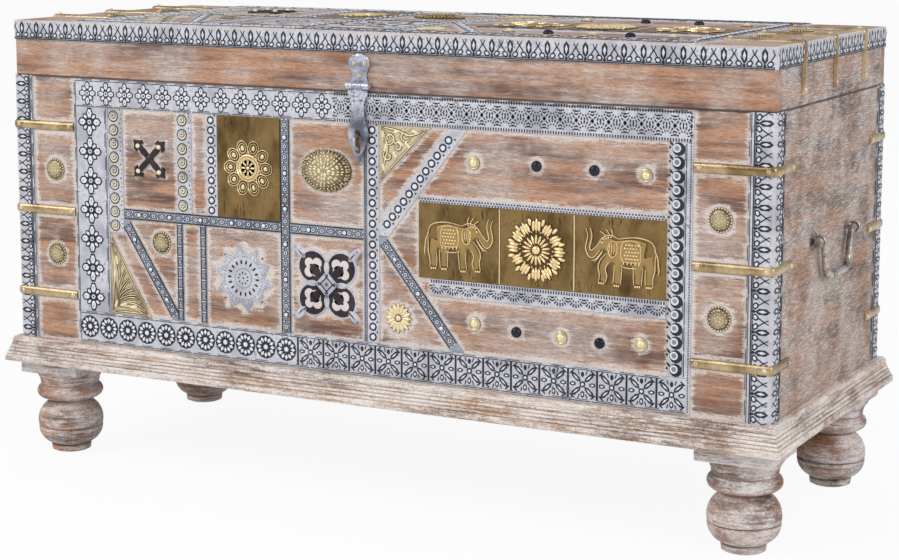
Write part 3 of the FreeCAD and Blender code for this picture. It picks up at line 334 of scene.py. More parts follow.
GREY_IRON = Metal("hammered_iron", "grey_iron", (214, 217, 230), (96, 98, 112), (34, 34, 42), metallic=0.65,
    rough=0.28, dirt=0.6, dent=2.2, dent_scale=85.0, raised=False)
OLD_IRON = Metal("worn_iron", "grey_iron", (206, 198, 192), (84, 74, 68), (46, 36, 32), metallic=0.65,
    rough=0.28, dirt=0.58, dent=1.4, dent_scale=85.0, raised=False)
BRASS_SHADE = Metal("brass_shade", "old_brass", (98, 74, 40), (66, 48, 24), (50, 36, 20), metallic=0.6,
    rough=0.45, dirt=0.4, dent=0.3, dent_scale=60.0, raised=False)
STAR_LINE = Metal("engraved_line", "white_metal", (150, 154, 162), (120, 124, 134), (170, 172, 180),
    metallic=0.2, rough=0.5, dirt=0.2, dent=0.1, raised=False)
GILT_DARK = Metal("gilt_shadow", "old_brass", (120, 96, 60), (84, 66, 42), (150, 130, 92), metallic=0.4,
    rough=0.45, dirt=0.3, dent=0.2, raised=False)
SCROLL_PALE = Metal("scroll_ground", "white_metal", (222, 212, 210), (206, 192, 190), (176, 160, 158),
    metallic=0.05, rough=0.6, dirt=0.3, dent=0.1, raised=False)
STUD_IRON = Metal("glossy_stud_iron", "black_iron", (44, 46, 56), (30, 30, 38), (70, 70, 78), metallic=0.7,
    rough=0.2, dirt=0.2, dent=0.1, dent_scale=90.0, raised=False)

Finish = Wood | Metal


# Mesh work with the operators

def clear_selection() -> None:
    """Deselects every object."""
    bpy.ops.object.select_all(action="DESELECT")


def pick(pieces: Sequence[Piece]) -> Piece:
    """Selects only these pieces and makes the first one active."""
    clear_selection()
    for piece in pieces:
        piece.select_set(True)
    bpy.context.view_layer.objects.active = pieces[0]
    return pieces[0]


def named(piece: Piece, name: str) -> Piece:
    """Names a piece and its mesh."""
    piece.name = piece.data.name = name
    return piece


def join(pieces: Sequence[Piece], name: str) -> Piece:
    """Joins pieces into one mesh under a name."""
    whole = pick(pieces)
    if len(pieces) > 1:
        bpy.ops.object.join()
    return named(whole, name)


def copied(piece: Piece) -> Piece:
    """A copy of a piece with its own mesh."""
    copy = piece.copy()
    copy.data = piece.data.copy()
    bpy.context.collection.objects.link(copy)
    return copy


def placed(piece: Piece, matrix: Matrix) -> Piece:
    """Moves a piece and puts its place into its mesh."""
    piece.matrix_world = matrix
    pick([piece])
    bpy.ops.object.transform_apply(location=True, rotation=True, scale=True)
    return piece


def apply_modifier(piece: Piece, kind: str, **settings: object) -> None:
    """Adds a modifier, sets it and applies it."""
    pick([piece])
    bpy.ops.object.modifier_add(type=kind)
    modifier = piece.modifiers[-1]
    for name, value in settings.items():
        setattr(modifier, name, value)
    bpy.ops.object.modifier_apply(modifier=modifier.name)


def smooth(piece: Piece, degrees: float = 40.0) -> Piece:
    """Shades a piece smooth, with its edges sharp past an angle."""
    pick([piece])
    bpy.ops.object.shade_smooth_by_angle(angle=math.radians(degrees))
    return piece


def soften(piece: Piece, width: float, segments: int = 2, degrees: float = 60.0) -> None:
    """Bevels the edges that are sharper than an angle."""
    apply_modifier(piece, "BEVEL", width=width * MM, segments=segments, limit_method="ANGLE",
        angle_limit=math.radians(degrees))


def remove(*pieces: Piece) -> None:
    """Removes masters, which aren't part of the chest."""
    for piece in pieces:
        bpy.data.objects.remove(piece)


def edit_all(piece: Piece) -> None:
    """Opens a piece in edit mode with all of it selected."""
    pick([piece])
    bpy.ops.object.mode_set(mode="EDIT")
    bpy.ops.mesh.select_all(action="SELECT")


def extrude(x: float, y: float, z: float) -> None:
    """Extrudes the selection by millimetres."""
    bpy.ops.mesh.extrude_region_move(TRANSFORM_OT_translate={"value": (x * MM, y * MM, z * MM)})


def resize(x: float, y: float, z: float, centre: Sequence[float] = (0.0, 0.0, 0.0)) -> None:
    """Scales the selection about a point in metres."""
    bpy.ops.transform.resize(value=(x, y, z), center_override=centre)


def open_mesh(name: str) -> Piece:
    """A new empty mesh object, in edit mode."""
    clear_selection()
    bpy.ops.object.add(type="MESH")
    piece = bpy.context.object
    piece.name = name
    bpy.ops.object.mode_set(mode="EDIT")
    return piece


def close_mesh(piece: Piece, finish: Finish) -> Piece:
    """Leaves edit mode and gives the piece its finish."""
    bpy.ops.mesh.select_all(action="SELECT")
    bpy.ops.mesh.normals_make_consistent(inside=False)
    bpy.ops.object.mode_set(mode="OBJECT")
    piece.data.materials.clear()
    piece.data.materials.append(finish.material())
    return piece


def turn_selection(degrees: float, axis: str, centre: Sequence[float]) -> None:
    """Turns the selection about a global axis, counterclockwise seen from the axis's tip."""
    bpy.ops.transform.rotate(value=-math.radians(degrees), orient_axis=axis, center_override=centre)


def write_values(piece: Piece, name: str, values: Sequence[float]) -> Piece:
    """Writes a value for each point of a piece, in place of an older one."""
    old = piece.data.attributes.get(name)
    if old:
        piece.data.attributes.remove(old)
    piece.data.attributes.new(name, "FLOAT", "POINT").data.foreach_set("value", values)
    return piece


def set_lift(piece: Piece, low: float, high: float) -> Piece:
    """Writes how far each point of a flat relief is raised, from 0 at low to 1 at high."""
    values = [min(max((vertex.co.z / MM - low) / (high - low), 0.0), 1.0) for vertex in piece.data.vertices]
    return write_values(piece, "lift", values)


class Outline(Enum):
    """The outline that a cell starts from."""
    ROUND = "round"
    BAR = "bar"


@dataclass(frozen=True)
class Cell:
    """One cell of a motif on the XY plane: its outline, then steps of size share and rise."""
    half_x: float
    half_y: float
    x: float = 0.0
    y: float = 0.0
    turn: float = 0.0
    sides: int = 6
    base: float = -SUNK
    steps: tuple[tuple[float, float], ...] = ((1.0, SUNK + 0.25),)
    outline: Outline = Outline.ROUND

    def press(self) -> None:
        """Adds the cell to the mesh in edit mode: a face, pushed up step by step."""
        at = (self.x * MM, self.y * MM, self.base * MM)
        bpy.ops.mesh.select_all(action="DESELECT")
        if self.outline is Outline.BAR:
            bpy.ops.mesh.primitive_plane_add(size=2, location=at)
        else:
            bpy.ops.mesh.primitive_circle_add(vertices=self.sides, radius=1, fill_type="NGON", location=at)
        resize(self.half_x * MM, self.half_y * MM, 1, at)
        if self.turn:
            turn_selection(self.turn, "Z", at)
        size = 1.0
        for share, rise in self.steps:
            extrude(0, 0, rise)
            if share != size:
                resize(share / size, share / size, 1, at)
            size = share

    def around(self, count: int, radius: float, start: float = 0.0) -> list["Cell"]:
        """Copies of the cell in a ring, each turned to point outwards, about the cell's own place."""
        ring = []
        for index in range(count):
            angle = start + 360.0 * index / count
            x = self.x + radius * math.sin(-math.radians(angle))
            y = self.y + radius * math.cos(math.radians(angle))
            ring.append(replace(self, x=x, y=y, turn=self.turn + angle))
        return ring

    def mirrored(self) -> list["Cell"]:
        """The cell and its mirror image about x = 0."""
        return [self, replace(self, x=-self.x, turn=-self.turn)]


def bar(half_x: float, half_y: float, x: float = 0.0, y: float = 0.0, turn: float = 0.0,
        rise: float = 0.3) -> Cell:
    """A straight dash of patina."""
    return Cell(half_x, half_y, x, y, turn, outline=Outline.BAR, steps=((1.0, SUNK + rise),))


def groove(half_x: float, half_y: float, *place: float, sides: int = 6) -> Cell:
    """A flat patch of patina under a raised cell, at x and y and with a turn where they are given."""
    return Cell(half_x, half_y, *place, sides=sides)


def raised(half_x: float, half_y: float, *place: float, sides: int = 6, rise: float = 0.75) -> Cell:
    """A cell that stands over its groove."""
    return Cell(half_x, half_y, *place, sides=sides, steps=((0.72, SUNK + rise),))


def domed(half_x: float, half_y: float, rise: float, x: float = 0.0, y: float = 0.0, turn: float = 0.0,
          sides: int = 12, base: float = -SUNK) -> Cell:
    """A rounded boss in three steps."""
    return Cell(half_x, half_y, x, y, turn, sides, base,
                ((0.93, SUNK + 0.35 * rise), (0.7, 0.4 * rise), (0.34, 0.25 * rise)))


def pressed(name: str, cells: Iterable[Cell], finish: Finish) -> Piece:
    """Presses cells into one mesh of one finish, on the XY plane, fully bright from the height BRIGHT."""
    piece = open_mesh(name)
    for cell in cells:
        cell.press()
    return set_lift(close_mesh(piece, finish), 0.0, BRIGHT)


# Boards to put things on

class Board(Enum):
    """The faces of the chest that carry metalwork."""
    FRONT = "front"
    BACK = "back"
    LEFT = "left"
    RIGHT = "right"
    TOP = "top"


@dataclass(frozen=True)
class Chassis:
    """Main sizes of the chest in millimetres, read from the frame."""
    half_w: float
    half_d: float
    case_z: float
    seam_z: float
    top_z: float

    @classmethod
    def measured(cls) -> "Chassis":
        """Reads the sizes from the case's and the lid's boards."""
        low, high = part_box("front_panel")
        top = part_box("lid_board")[1]
        return cls(high.x / MM, -low.y / MM, low.z / MM, high.z / MM, top.z / MM)

    @property
    def case_h(self) -> float:
        """Height of the case."""
        return self.seam_z - self.case_z

    def matrix(self, board: Board) -> Matrix:
        """From a board's flat coordinates, x along it and y up, to the chest in metres."""
        up = self.case_z * MM
        front = Matrix(((1, 0, 0, 0), (0, 0, -1, -self.half_d * MM), (0, 1, 0, up), (0, 0, 0, 1)))
        right = Matrix(((0, 0, 1, self.half_w * MM), (1, 0, 0, 0), (0, 1, 0, up), (0, 0, 0, 1)))
        half_turn = Matrix.Rotation(math.pi, 4, "Z")
        return {
            Board.FRONT: front,
            Board.BACK: half_turn @ front,
            Board.RIGHT: right,
            Board.LEFT: half_turn @ right,
            Board.TOP: Matrix.Translation((0, -self.half_d * MM, self.top_z * MM)),
        }[board]

    def spot(self, board: Board, x: float, y: float, turn: float = 0.0, out: float = SHEET) -> Matrix:
        """The place of a piece on a board, turned about the board's normal and lifted off it."""
        return (self.matrix(board) @ Matrix.Translation((x * MM, y * MM, out * MM))
                @ Matrix.Rotation(math.radians(turn), 4, "Z"))


CHEST = Chassis.measured()


def ride_with(piece: Piece, body: str, finish: Finish, *nodes: str) -> None:
    """Lets a piece ride on a body and hides the plain solids that it stands for."""
    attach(piece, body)
    if nodes:
        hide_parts(*nodes)
    log.info("%s: %d faces on %s", piece.name, len(piece.data.polygons), body)


# Motifs

Layer = tuple[Finish, Sequence[Cell]]


@dataclass(frozen=True)
class Motif:
    """One repeat of pressed metalwork, x along the strip and y across it."""
    name: str
    pitch: float
    layers: tuple[Layer, ...]

    def master(self) -> Piece:
        """The repeat's mesh, modelled once."""
        made = STOCK.get(self.name)
        if made is None:
            parts = [pressed(self.name, cells, finish) for finish, cells in self.layers]
            made = join(parts, "stock_" + self.name)
            STOCK[self.name] = made
        return made

    def row(self, name: str, board: Board, start: Point, turn: float, length: float, body: str) -> None:
        """Repeats the motif along a strip.

        Args:
            name: The piece's name.
            board: The face that it lies on.
            start: Where the strip's middle line starts, in the board's millimetres.
            turn: The strip's direction in degrees from the board's x.
            length: The strip's length in millimetres.
            body: The body that it rides on.
        """
        count = max(1, round(length / self.pitch))
        step = length / count
        strip = copied(self.master())
        strip.name = name
        if count > 1:
            apply_modifier(strip, "ARRAY", count=count, use_relative_offset=False, use_constant_offset=True,
                constant_offset_displace=(step * MM, 0, 0))
        placed(strip, CHEST.spot(board, *start, turn) @ Matrix.Translation((step / 2 * MM, 0, 0)))
        ride_with(strip, body, self.layers[0][0])


STOCK: dict[str, Piece] = {}


def diamond_flower(pitch: float, half_x: float, half_y: float) -> Motif:
    """Four large petals and four small ones round a ring, each in a bold dark outline."""
    sx, sy = half_x / 14, half_y / 16
    grooves = [Cell(9.6 * sx, 10.6 * sy, sides=4, steps=((1.0, SUNK + 0.2),))]
    petals = []
    for side in (-1, 1):
        grooves += [groove(4.7 * sx, 6.3 * sy, 0, side * 10.2 * sy), groove(6.2 * sx, 4.9 * sy,
            side * 8.6 * sx, 0)]
        petals += [raised(3.7 * sx, 5.3 * sy, 0, side * 10.0 * sy), raised(5.2 * sx, 3.9 * sy,
            side * 8.3 * sx, 0)]
        for side_y in (-1, 1):
            place = (side * 5.2 * sx, side_y * 5.8 * sy, -side * side_y * 40.0)
            grooves.append(groove(4.2, 5.4, *place))
            petals.append(raised(2.7, 3.9, *place))
    petals.append(Cell(3.4, 3.4, sides=8, steps=((0.9, SUNK + 0.8), (0.5, 0.0), (0.4, -0.6))))
    hearts = [Cell(1.0, 2.2, 0, side * 10.6 * sy, 0, 4, 0.4, ((1.0, 0.5),)) for side in (-1, 1)]
    hearts += [Cell(2.2, 1.0, side * 9.0 * sx, 0, 0, 4, 0.4, ((1.0, 0.5),)) for side in (-1, 1)]
    return Motif(f"diamond_flower_{round(pitch)}", pitch, ((PATINA, grooves), (WHITE_RELIEF, petals),
        (STAR_LINE, hearts)))


def leaf_box_motif() -> Motif:
    """Crossed leaves in a box."""
    dark = [bar(1.3, 18.5, -19.4, 0)]
    pale = []
    for side_x in (-1, 1):
        for side_y in (-1, 1):
            turn = -side_x * side_y * 48.0
            dark += [Cell(3.5, 9.4, side_x * 8.8, side_y * 8.8, turn, 6, -SUNK, ((0.9, SUNK + 0.3),)),
                     bar(0.9, 3.6, side_x * 14.0, side_y * 15.0, -turn),
                     bar(0.7, 2.6, side_x * 5.2, side_y * 14.6, turn * 0.4)]
            pale.append(Cell(1.5, 7.2, side_x * 8.6, side_y * 8.6, turn, 4, -SUNK, ((0.6, SUNK + 0.7),)))
    dark += [groove(*sizes) for sizes in ((4.6, 2.9, -13.0, 0), (4.6, 2.9, 13.0, 0), (2.8, 4.6, 0, -12.4),
        (2.4, 3.6, 0, 12.6), (4.2, 4.2))]
    pale += [raised(*sizes) for sizes in ((2.4, 2.4), (2.7, 1.5, -13.0, 0), (2.7, 1.5, 13.0, 0), (1.5, 2.7,
        0, -12.4))]
    return Motif("leaf_box", 40.0, ((PATINA, dark), (WHITE_RELIEF, pale)))


def lace_arcs(centre_y: float, radius: float, start: float, dashes: int, half_y: float = 1.9) -> list[Cell]:
    """Short dashes round a half circle."""
    return [bar(0.8, half_y, radius * math.cos(math.radians(angle)),
                centre_y + radius * math.sin(math.radians(angle)), angle - 90)
            for angle in (start + 180.0 * (index + 0.5) / dashes for index in range(dashes))]


def ladder(half_y: float, *levels: float) -> list[Cell]:
    """Rows of six upright dashes."""
    return [bar(0.75, half_y, -8.75 + 3.5 * index, level) for index in range(6) for level in levels]


def chased_motif(half: float) -> Motif:
    """Rings between crosses, within dark border lines, on the narrow blue strips."""
    reach = half - 2.2
    ring, pearl = min(4.0, reach), min(3.0, reach * 0.75)
    dark = [bar(7.0, 0.8, 0, half - 0.9), bar(7.0, 0.8, 0, 0.9 - half), groove(ring, ring)]
    dark += [Cell(0.9, reach * 0.5, side_x * 5.6, side_y * reach * 0.45, side_x * side_y * 35, 4)
             for side_x in (-1, 1) for side_y in (-1, 1)]
    pale = [Cell(pearl, pearl, sides=8, steps=((0.85, SUNK + 0.8), (0.5, 0.0), (0.4, -0.6))),
            raised(1.5, 2.0, 7.0, reach * 0.62, sides=4), raised(1.5, 2.0, 7.0, -reach * 0.62, sides=4)]
    return Motif(f"chased_{round(half)}", 14.0, ((PATINA, dark), (BLUE_RELIEF, pale)))


DIAMOND_FLOWER = diamond_flower(30.0, 14.0, 16.2)
TALL_FLOWER = diamond_flower(40.0, 19.5, 19.0)
LEAF_BOX = leaf_box_motif()
CHASED = chased_motif(7.0)
CHASED_FINE = chased_motif(4.5)

# A pointed leaf over a pair of drops and crossing stems, repeated like a crest
SPADE = Motif("spade", 25.0, (
    (PATINA, [groove(4.2, 9.4, 0, 3.2), groove(2.0, 2.6, 0, -7.8),
              *groove(4.8, 3.8, 6.7, -5.6, 30).mirrored(), *bar(0.7, 5.4, 9.0, 0.6, -34).mirrored(),
              *bar(0.6, 3.4, 11.0, 7.6, 24).mirrored(), bar(12.3, 0.7, 0, -10.9),
              bar(12.3, 0.45, 0, -9.1)]),
    (BLUE_RELIEF, [Cell(2.6, 7.4, 0, 3.2, 0, 4, steps=((0.5, SUNK + 0.8),)),
                   *raised(3.2, 2.4, 6.7, -5.6, 30).mirrored()])))

# A round flower of twelve petals
ROSETTE = Motif("rosette", 33.0, (
    (PATINA, [groove(15.6, 15.6, sides=12)]),
    (WHITE_RELIEF, Cell(3.1, 4.6, sides=4, steps=((0.6, SUNK + 0.8),)).around(12, 10.4)),
    (WHITE_RELIEF, [raised(4.2, 4.2)])))

# Two rows of double scallops drawn in dashes, between ladders of dashes
LACE_NET = Motif("lace_net", 21.0, ((PATINA, [
    *lace_arcs(12.8, 11.0, 180, 9), *lace_arcs(-12.8, 11.0, 0, 9), *lace_arcs(13.4, 7.0, 180, 6, 1.1),
    *lace_arcs(-13.4, 7.0, 0, 6, 1.1), *ladder(1.7, -16.4, 16.4),
    *Cell(1.9, 3.0, 10.0, 0, 0, 4, steps=((1.0, SUNK + 0.3),)).mirrored()]),))

# One row of hanging double scallops under a ladder of dashes
LACE_EDGE = Motif("lace_edge", 21.0, ((PATINA, [
    *lace_arcs(3.6, 10.0, 180, 9, 2.1), *lace_arcs(4.4, 6.0, 180, 5, 1.0), *ladder(1.9, 7.8)]),))

# Two rows of dots, a broken chased line and a row of short dashes, all very fine
DOT_LINE = Motif("dot_line", 4.0, ((PATINA, [bar(0.95, 0.95, -1, 1.6), bar(0.95, 0.95, 1, -1.6)]),))
EDGE_LINE = Motif("edge_line", 31.0, ((PATINA, [bar(14.6, 0.45, 0, 0), bar(9.0, 0.35, 3.0, 1.9)]),))
BEAD_LINE = Motif("bead_line", 3.2, ((PATINA, [bar(0.9, 0.7)]),))

# One small nail head in a dark ring
STRIP_NAIL = Motif("strip_nail", 46.0, (
    (PATINA, [Cell(3.9, 3.9, sides=8, steps=((1.0, SUNK + 0.9),))]),
    (WHITE_RELIEF, [domed(2.9, 2.9, 1.3, base=0.7, sides=8)])))

# A dark crescent round a pale hollow, with a barb beside it
MOON = Motif("moon", 16.4, (
    (PATINA, [groove(8.1, 8.1, 0, -0.8, sides=12), Cell(1.7, 4.6, 6.2, 8.4, -48, 4),
              Cell(1.7, 1.7, 1.6, 10.4, 0, 4)]),
    (WHITE_RELIEF, [Cell(5.3, 5.3, 0.9, 1.5, 0, 12,
                         steps=((0.96, SUNK + 0.75), (0.7, 0.0), (0.62, -0.4)))]),
    (STAR_LINE, [Cell(2.5, 2.5, 0.9, 1.5, 0, 6, 0.2, ((1.0, 0.4),))])))

# A gilt ring with a pearl in it, and small dots along a scalloped edge
GILT_MOON = Motif("gilt_moon", 18.4, (
    (PATINA, [groove(8.2, 8.2, 0, 2.2, sides=10), bar(0.8, 0.8, 9.2, -8.4, 45),
              bar(0.6, 0.6, 3.0, -9.8, 45), bar(0.6, 0.6, -3.0, -9.8, 45)]),
    (GILT_RELIEF, [Cell(7.2, 7.2, 0, 2.2, 0, 10, steps=((0.8, SUNK + 1.1),))]),
    (GILT_DARK, [Cell(4.9, 4.9, 1.0, 1.6, 0, 8, SUNK, ((1.0, 1.1),))]),
    (WHITE_SHEET, [Cell(3.9, 3.9, 1.3, 1.9, 0, 8, SUNK, ((1.0, 1.3),))]),
    (GILT_DARK, [Cell(1.7, 1.7, 1.3, 1.9, 0, 6, 0.9, ((0.6, 0.9),))])))

# A small ring with a tick beside it
SMALL_RING = Motif("small_ring", 13.0, (
    (PATINA, [groove(5.7, 5.7, 0, 0.8, sides=8), Cell(1.9, 1.9, 6.5, -5.6, 0, 3)]),
    (WHITE_RELIEF, [raised(3.9, 3.9, 0, 0.8, sides=8, rise=0.9)])))


# Wire, rods and ridges

@dataclass(frozen=True)
class Wire:
    """A round wire along a smooth line, thinner or thicker on its way. Each point is x, y, z and radius."""
    points: tuple[tuple[float, float, float, float], ...]
    order: int = 3
    sides: int = 8
    steps: int = 5

    def bend(self, name: str, finish: Finish) -> Piece:
        """Draws the wire as a curve and makes it a closed mesh."""
        clear_selection()
        bpy.ops.curve.primitive_nurbs_path_add()
        piece = bpy.context.object
        piece.name = name
        curve = piece.data
        curve.splines.remove(curve.splines[0])
        spline = curve.splines.new("NURBS")
        spline.points.add(len(self.points) - 1)
        for point, (x, y, z, radius) in zip(spline.points, self.points):
            point.co = (x * MM, y * MM, z * MM, 1.0)
            point.radius = radius
        spline.order_u = self.order
        spline.use_endpoint_u = True
        spline.resolution_u = self.steps
        curve.dimensions = "3D"
        curve.bevel_depth = MM
        curve.bevel_resolution = max(0, (self.sides - 4) // 2)
        curve.use_fill_caps = True
        bpy.ops.object.convert(target="MESH")
        edit_all(bpy.context.object)
        bpy.ops.mesh.remove_doubles(threshold=0.01 * MM)
        return close_mesh(bpy.context.object, finish)


def ridges(name: str, lines: Iterable[Sequence[Point]], width: float, rise: float, finish: Finish,
           level: float = 0.0, taper: float = 0.6, steps: int = 4) -> Piece:
    """Raised lines on a sheet, thinner towards their ends.

    Args:
        name: The piece's name.
        lines: The points of each line, in millimetres.
        width: The width in the middle.
        rise: The height over the level.
        finish: The lines' finish.
        level: The height of the sheet.
        taper: The share of the width that is left at the ends.
        steps: How finely each line is drawn.

    Returns:
        One mesh with all the lines.
    """
    parts = []
    for line in lines:
        wire = []
        for index, (x, y) in enumerate(line):
            share = taper + (1 - taper) * math.sin(math.pi * index / (len(line) - 1))
            wire.append((x, y, 0.0, width / 2 * share))
        parts.append(Wire(tuple(wire), sides=6, steps=steps).bend(name, finish))
    return placed(join(parts, name), Matrix.Translation((0, 0, level * MM)) @ Matrix.Diagonal((1, 1,
        2 * rise / width, 1)))


def open_grid(name: str, wide: float, tall: float, cell: float) -> Piece:
    """A flat grid of square cells in millimetres, in edit mode with all of it selected."""
    clear_selection()
    bpy.ops.mesh.primitive_grid_add(x_subdivisions=round(wide / cell), y_subdivisions=round(tall / cell),
        size=1)
    piece = bpy.context.object
    piece.name = name
    edit_all(piece)
    resize(wide * MM, tall * MM, 1)
    return piece


def sheet_plate(name: str, wide: float, tall: float, finish: Finish, wave: float = 0.35) -> Piece:
    """A thin plate whose face is beaten slightly uneven, its upper face at z = 0."""
    piece = open_grid(name, wide, tall, 4.0)
    bpy.ops.transform.vertex_random(offset=wave * MM, uniform=0.2, normal=0.9, seed=3)
    bpy.ops.transform.translate(value=(0, 0, -wave / 2 * MM))
    extrude(0, 0, -(SHEET - wave))
    return close_mesh(piece, finish)


def plate_of(name: str, outline: Sequence[Point], thick: float, finish: Finish, back: float = 0.0) -> Piece:
    """A flat plate of an outline, its back at a height and its face over it."""
    piece = open_mesh(name)
    bpy.ops.mesh.primitive_circle_add(vertices=len(outline), radius=1, fill_type="NGON")
    bpy.ops.object.mode_set(mode="OBJECT")
    for vertex, (x, y) in zip(piece.data.vertices, outline):
        vertex.co = (x * MM, y * MM, back * MM)
    edit_all(piece)
    extrude(0, 0, thick)
    return close_mesh(piece, finish)


# Ornaments, each made once on the XY plane with its sheet's face at z = 0

def brass_flower() -> Piece:
    """Ten petals drawn in double loops round a ringed middle."""
    loop = Cell(9.0, 11.0, sides=16, steps=((0.96, SUNK + 1.2), (0.88, 0.2), (0.8, -1.1), (0.68, 0.0),
        (0.64, 0.9), (0.56, 0.1), (0.48, -0.9), (0.36, 0.0), (0.28, 0.8), (0.1, 0.3)))
    petals = [replace(cell, base=-SUNK - 0.02 * index)
              for index, cell in enumerate(loop.around(10, 27.0, 18))]
    hub = Cell(18.0, 18.0, sides=36, steps=((0.98, SUNK + 1.9), (0.93, 0.3), (0.87, -1.3), (0.8, 0.0),
        (0.77, 1.1), (0.72, 0.0), (0.68, -0.9)))
    spokes = Cell(1.5, 4.6, base=0.6, sides=6, steps=((0.8, 1.0), (0.4, 0.4))).around(8, 7.0)
    dots = domed(1.0, 1.0, 0.8, base=0.8, sides=6).around(16, 11.0, 11)
    shade = pressed("flower_shade", [Cell(11.2, 11.2, base=0.5, sides=24, steps=((1.0, 0.6),))], BRASS_SHADE)
    flower = pressed("brass_flower", petals + [hub] + spokes + dots + [domed(2.4, 2.4, 1.2, base=1.2,
        sides=10)], BRASS_RELIEF)
    return join([set_lift(flower, 0.2, 1.9), shade], "brass_flower")


def daisy(name: str, finish: Finish, radius: float, petals: int, rise: float = 2.2) -> Piece:
    """A flower of narrow ribbed petals round a bead."""
    inner = 0.18 * radius
    long = (radius - inner) / 2
    width = math.pi * (inner + long) / petals * 0.95
    ribs = domed(width, long, rise, sides=10).around(petals, inner + long)
    short = domed(width * 0.6, long * 0.6, rise * 0.6, sides=8).around(petals, inner + long * 1.1,
        180 / petals)
    bead = domed(0.2 * radius, 0.2 * radius, rise * 1.2, sides=12)
    return set_lift(pressed(name, short + ribs + [bead], finish), -0.2, rise)


def brass_rosette() -> Piece:
    """A daisy within two layers of ribbed, pointed petals."""
    draw = random.Random(11)
    leaf = Cell(2.5, 9.5, sides=8, steps=((0.85, SUNK + 1.6), (0.5, 1.3), (0.15, 0.5)))
    fans = []
    for index in range(12):
        angle = 30 * index + draw.uniform(-3, 3)
        reach = 30.5 + draw.uniform(-1.0, 1.6)
        for side in (-1, 0, 1):
            rib = replace(leaf, half_y=9.6 - 1.6 * abs(side), turn=-7.0 * side, base=-SUNK + draw.uniform(0,
                0.5))
            fans += rib.around(1, reach - 1.2 * abs(side), angle + 7.5 * side)
    under = replace(leaf, half_x=3.0, half_y=6.5, base=-0.8).around(12, 35.0, 15)
    beads = domed(1.7, 1.7, 1.9, sides=8).around(24, 22.4)
    ribs = Cell(1.9, 7.4, base=0.4, sides=8, steps=((0.8, 1.6), (0.45, 1.0), (0.15, 0.4))).around(18, 13.2)
    hub = Cell(5.6, 5.6, base=0.4, sides=16, steps=((0.94, 1.8), (0.8, 1.0), (0.55, 0.9), (0.2, 0.5)))
    petals = pressed("rosette_petals", under + fans + beads + ribs + [hub], BRASS_RELIEF)
    ground = Cell(1.0, 1.0, sides=36, steps=((1.0, SUNK + 0.15),))
    shade = pressed("rosette_shade", [replace(ground, half_x=36.0, half_y=36.0), replace(ground,
        half_x=21.5, half_y=21.5, steps=((1.0, SUNK + 0.7),))], BRASS_SHADE)
    return join([set_lift(petals, 0.3, 3.0), shade], "brass_rosette")


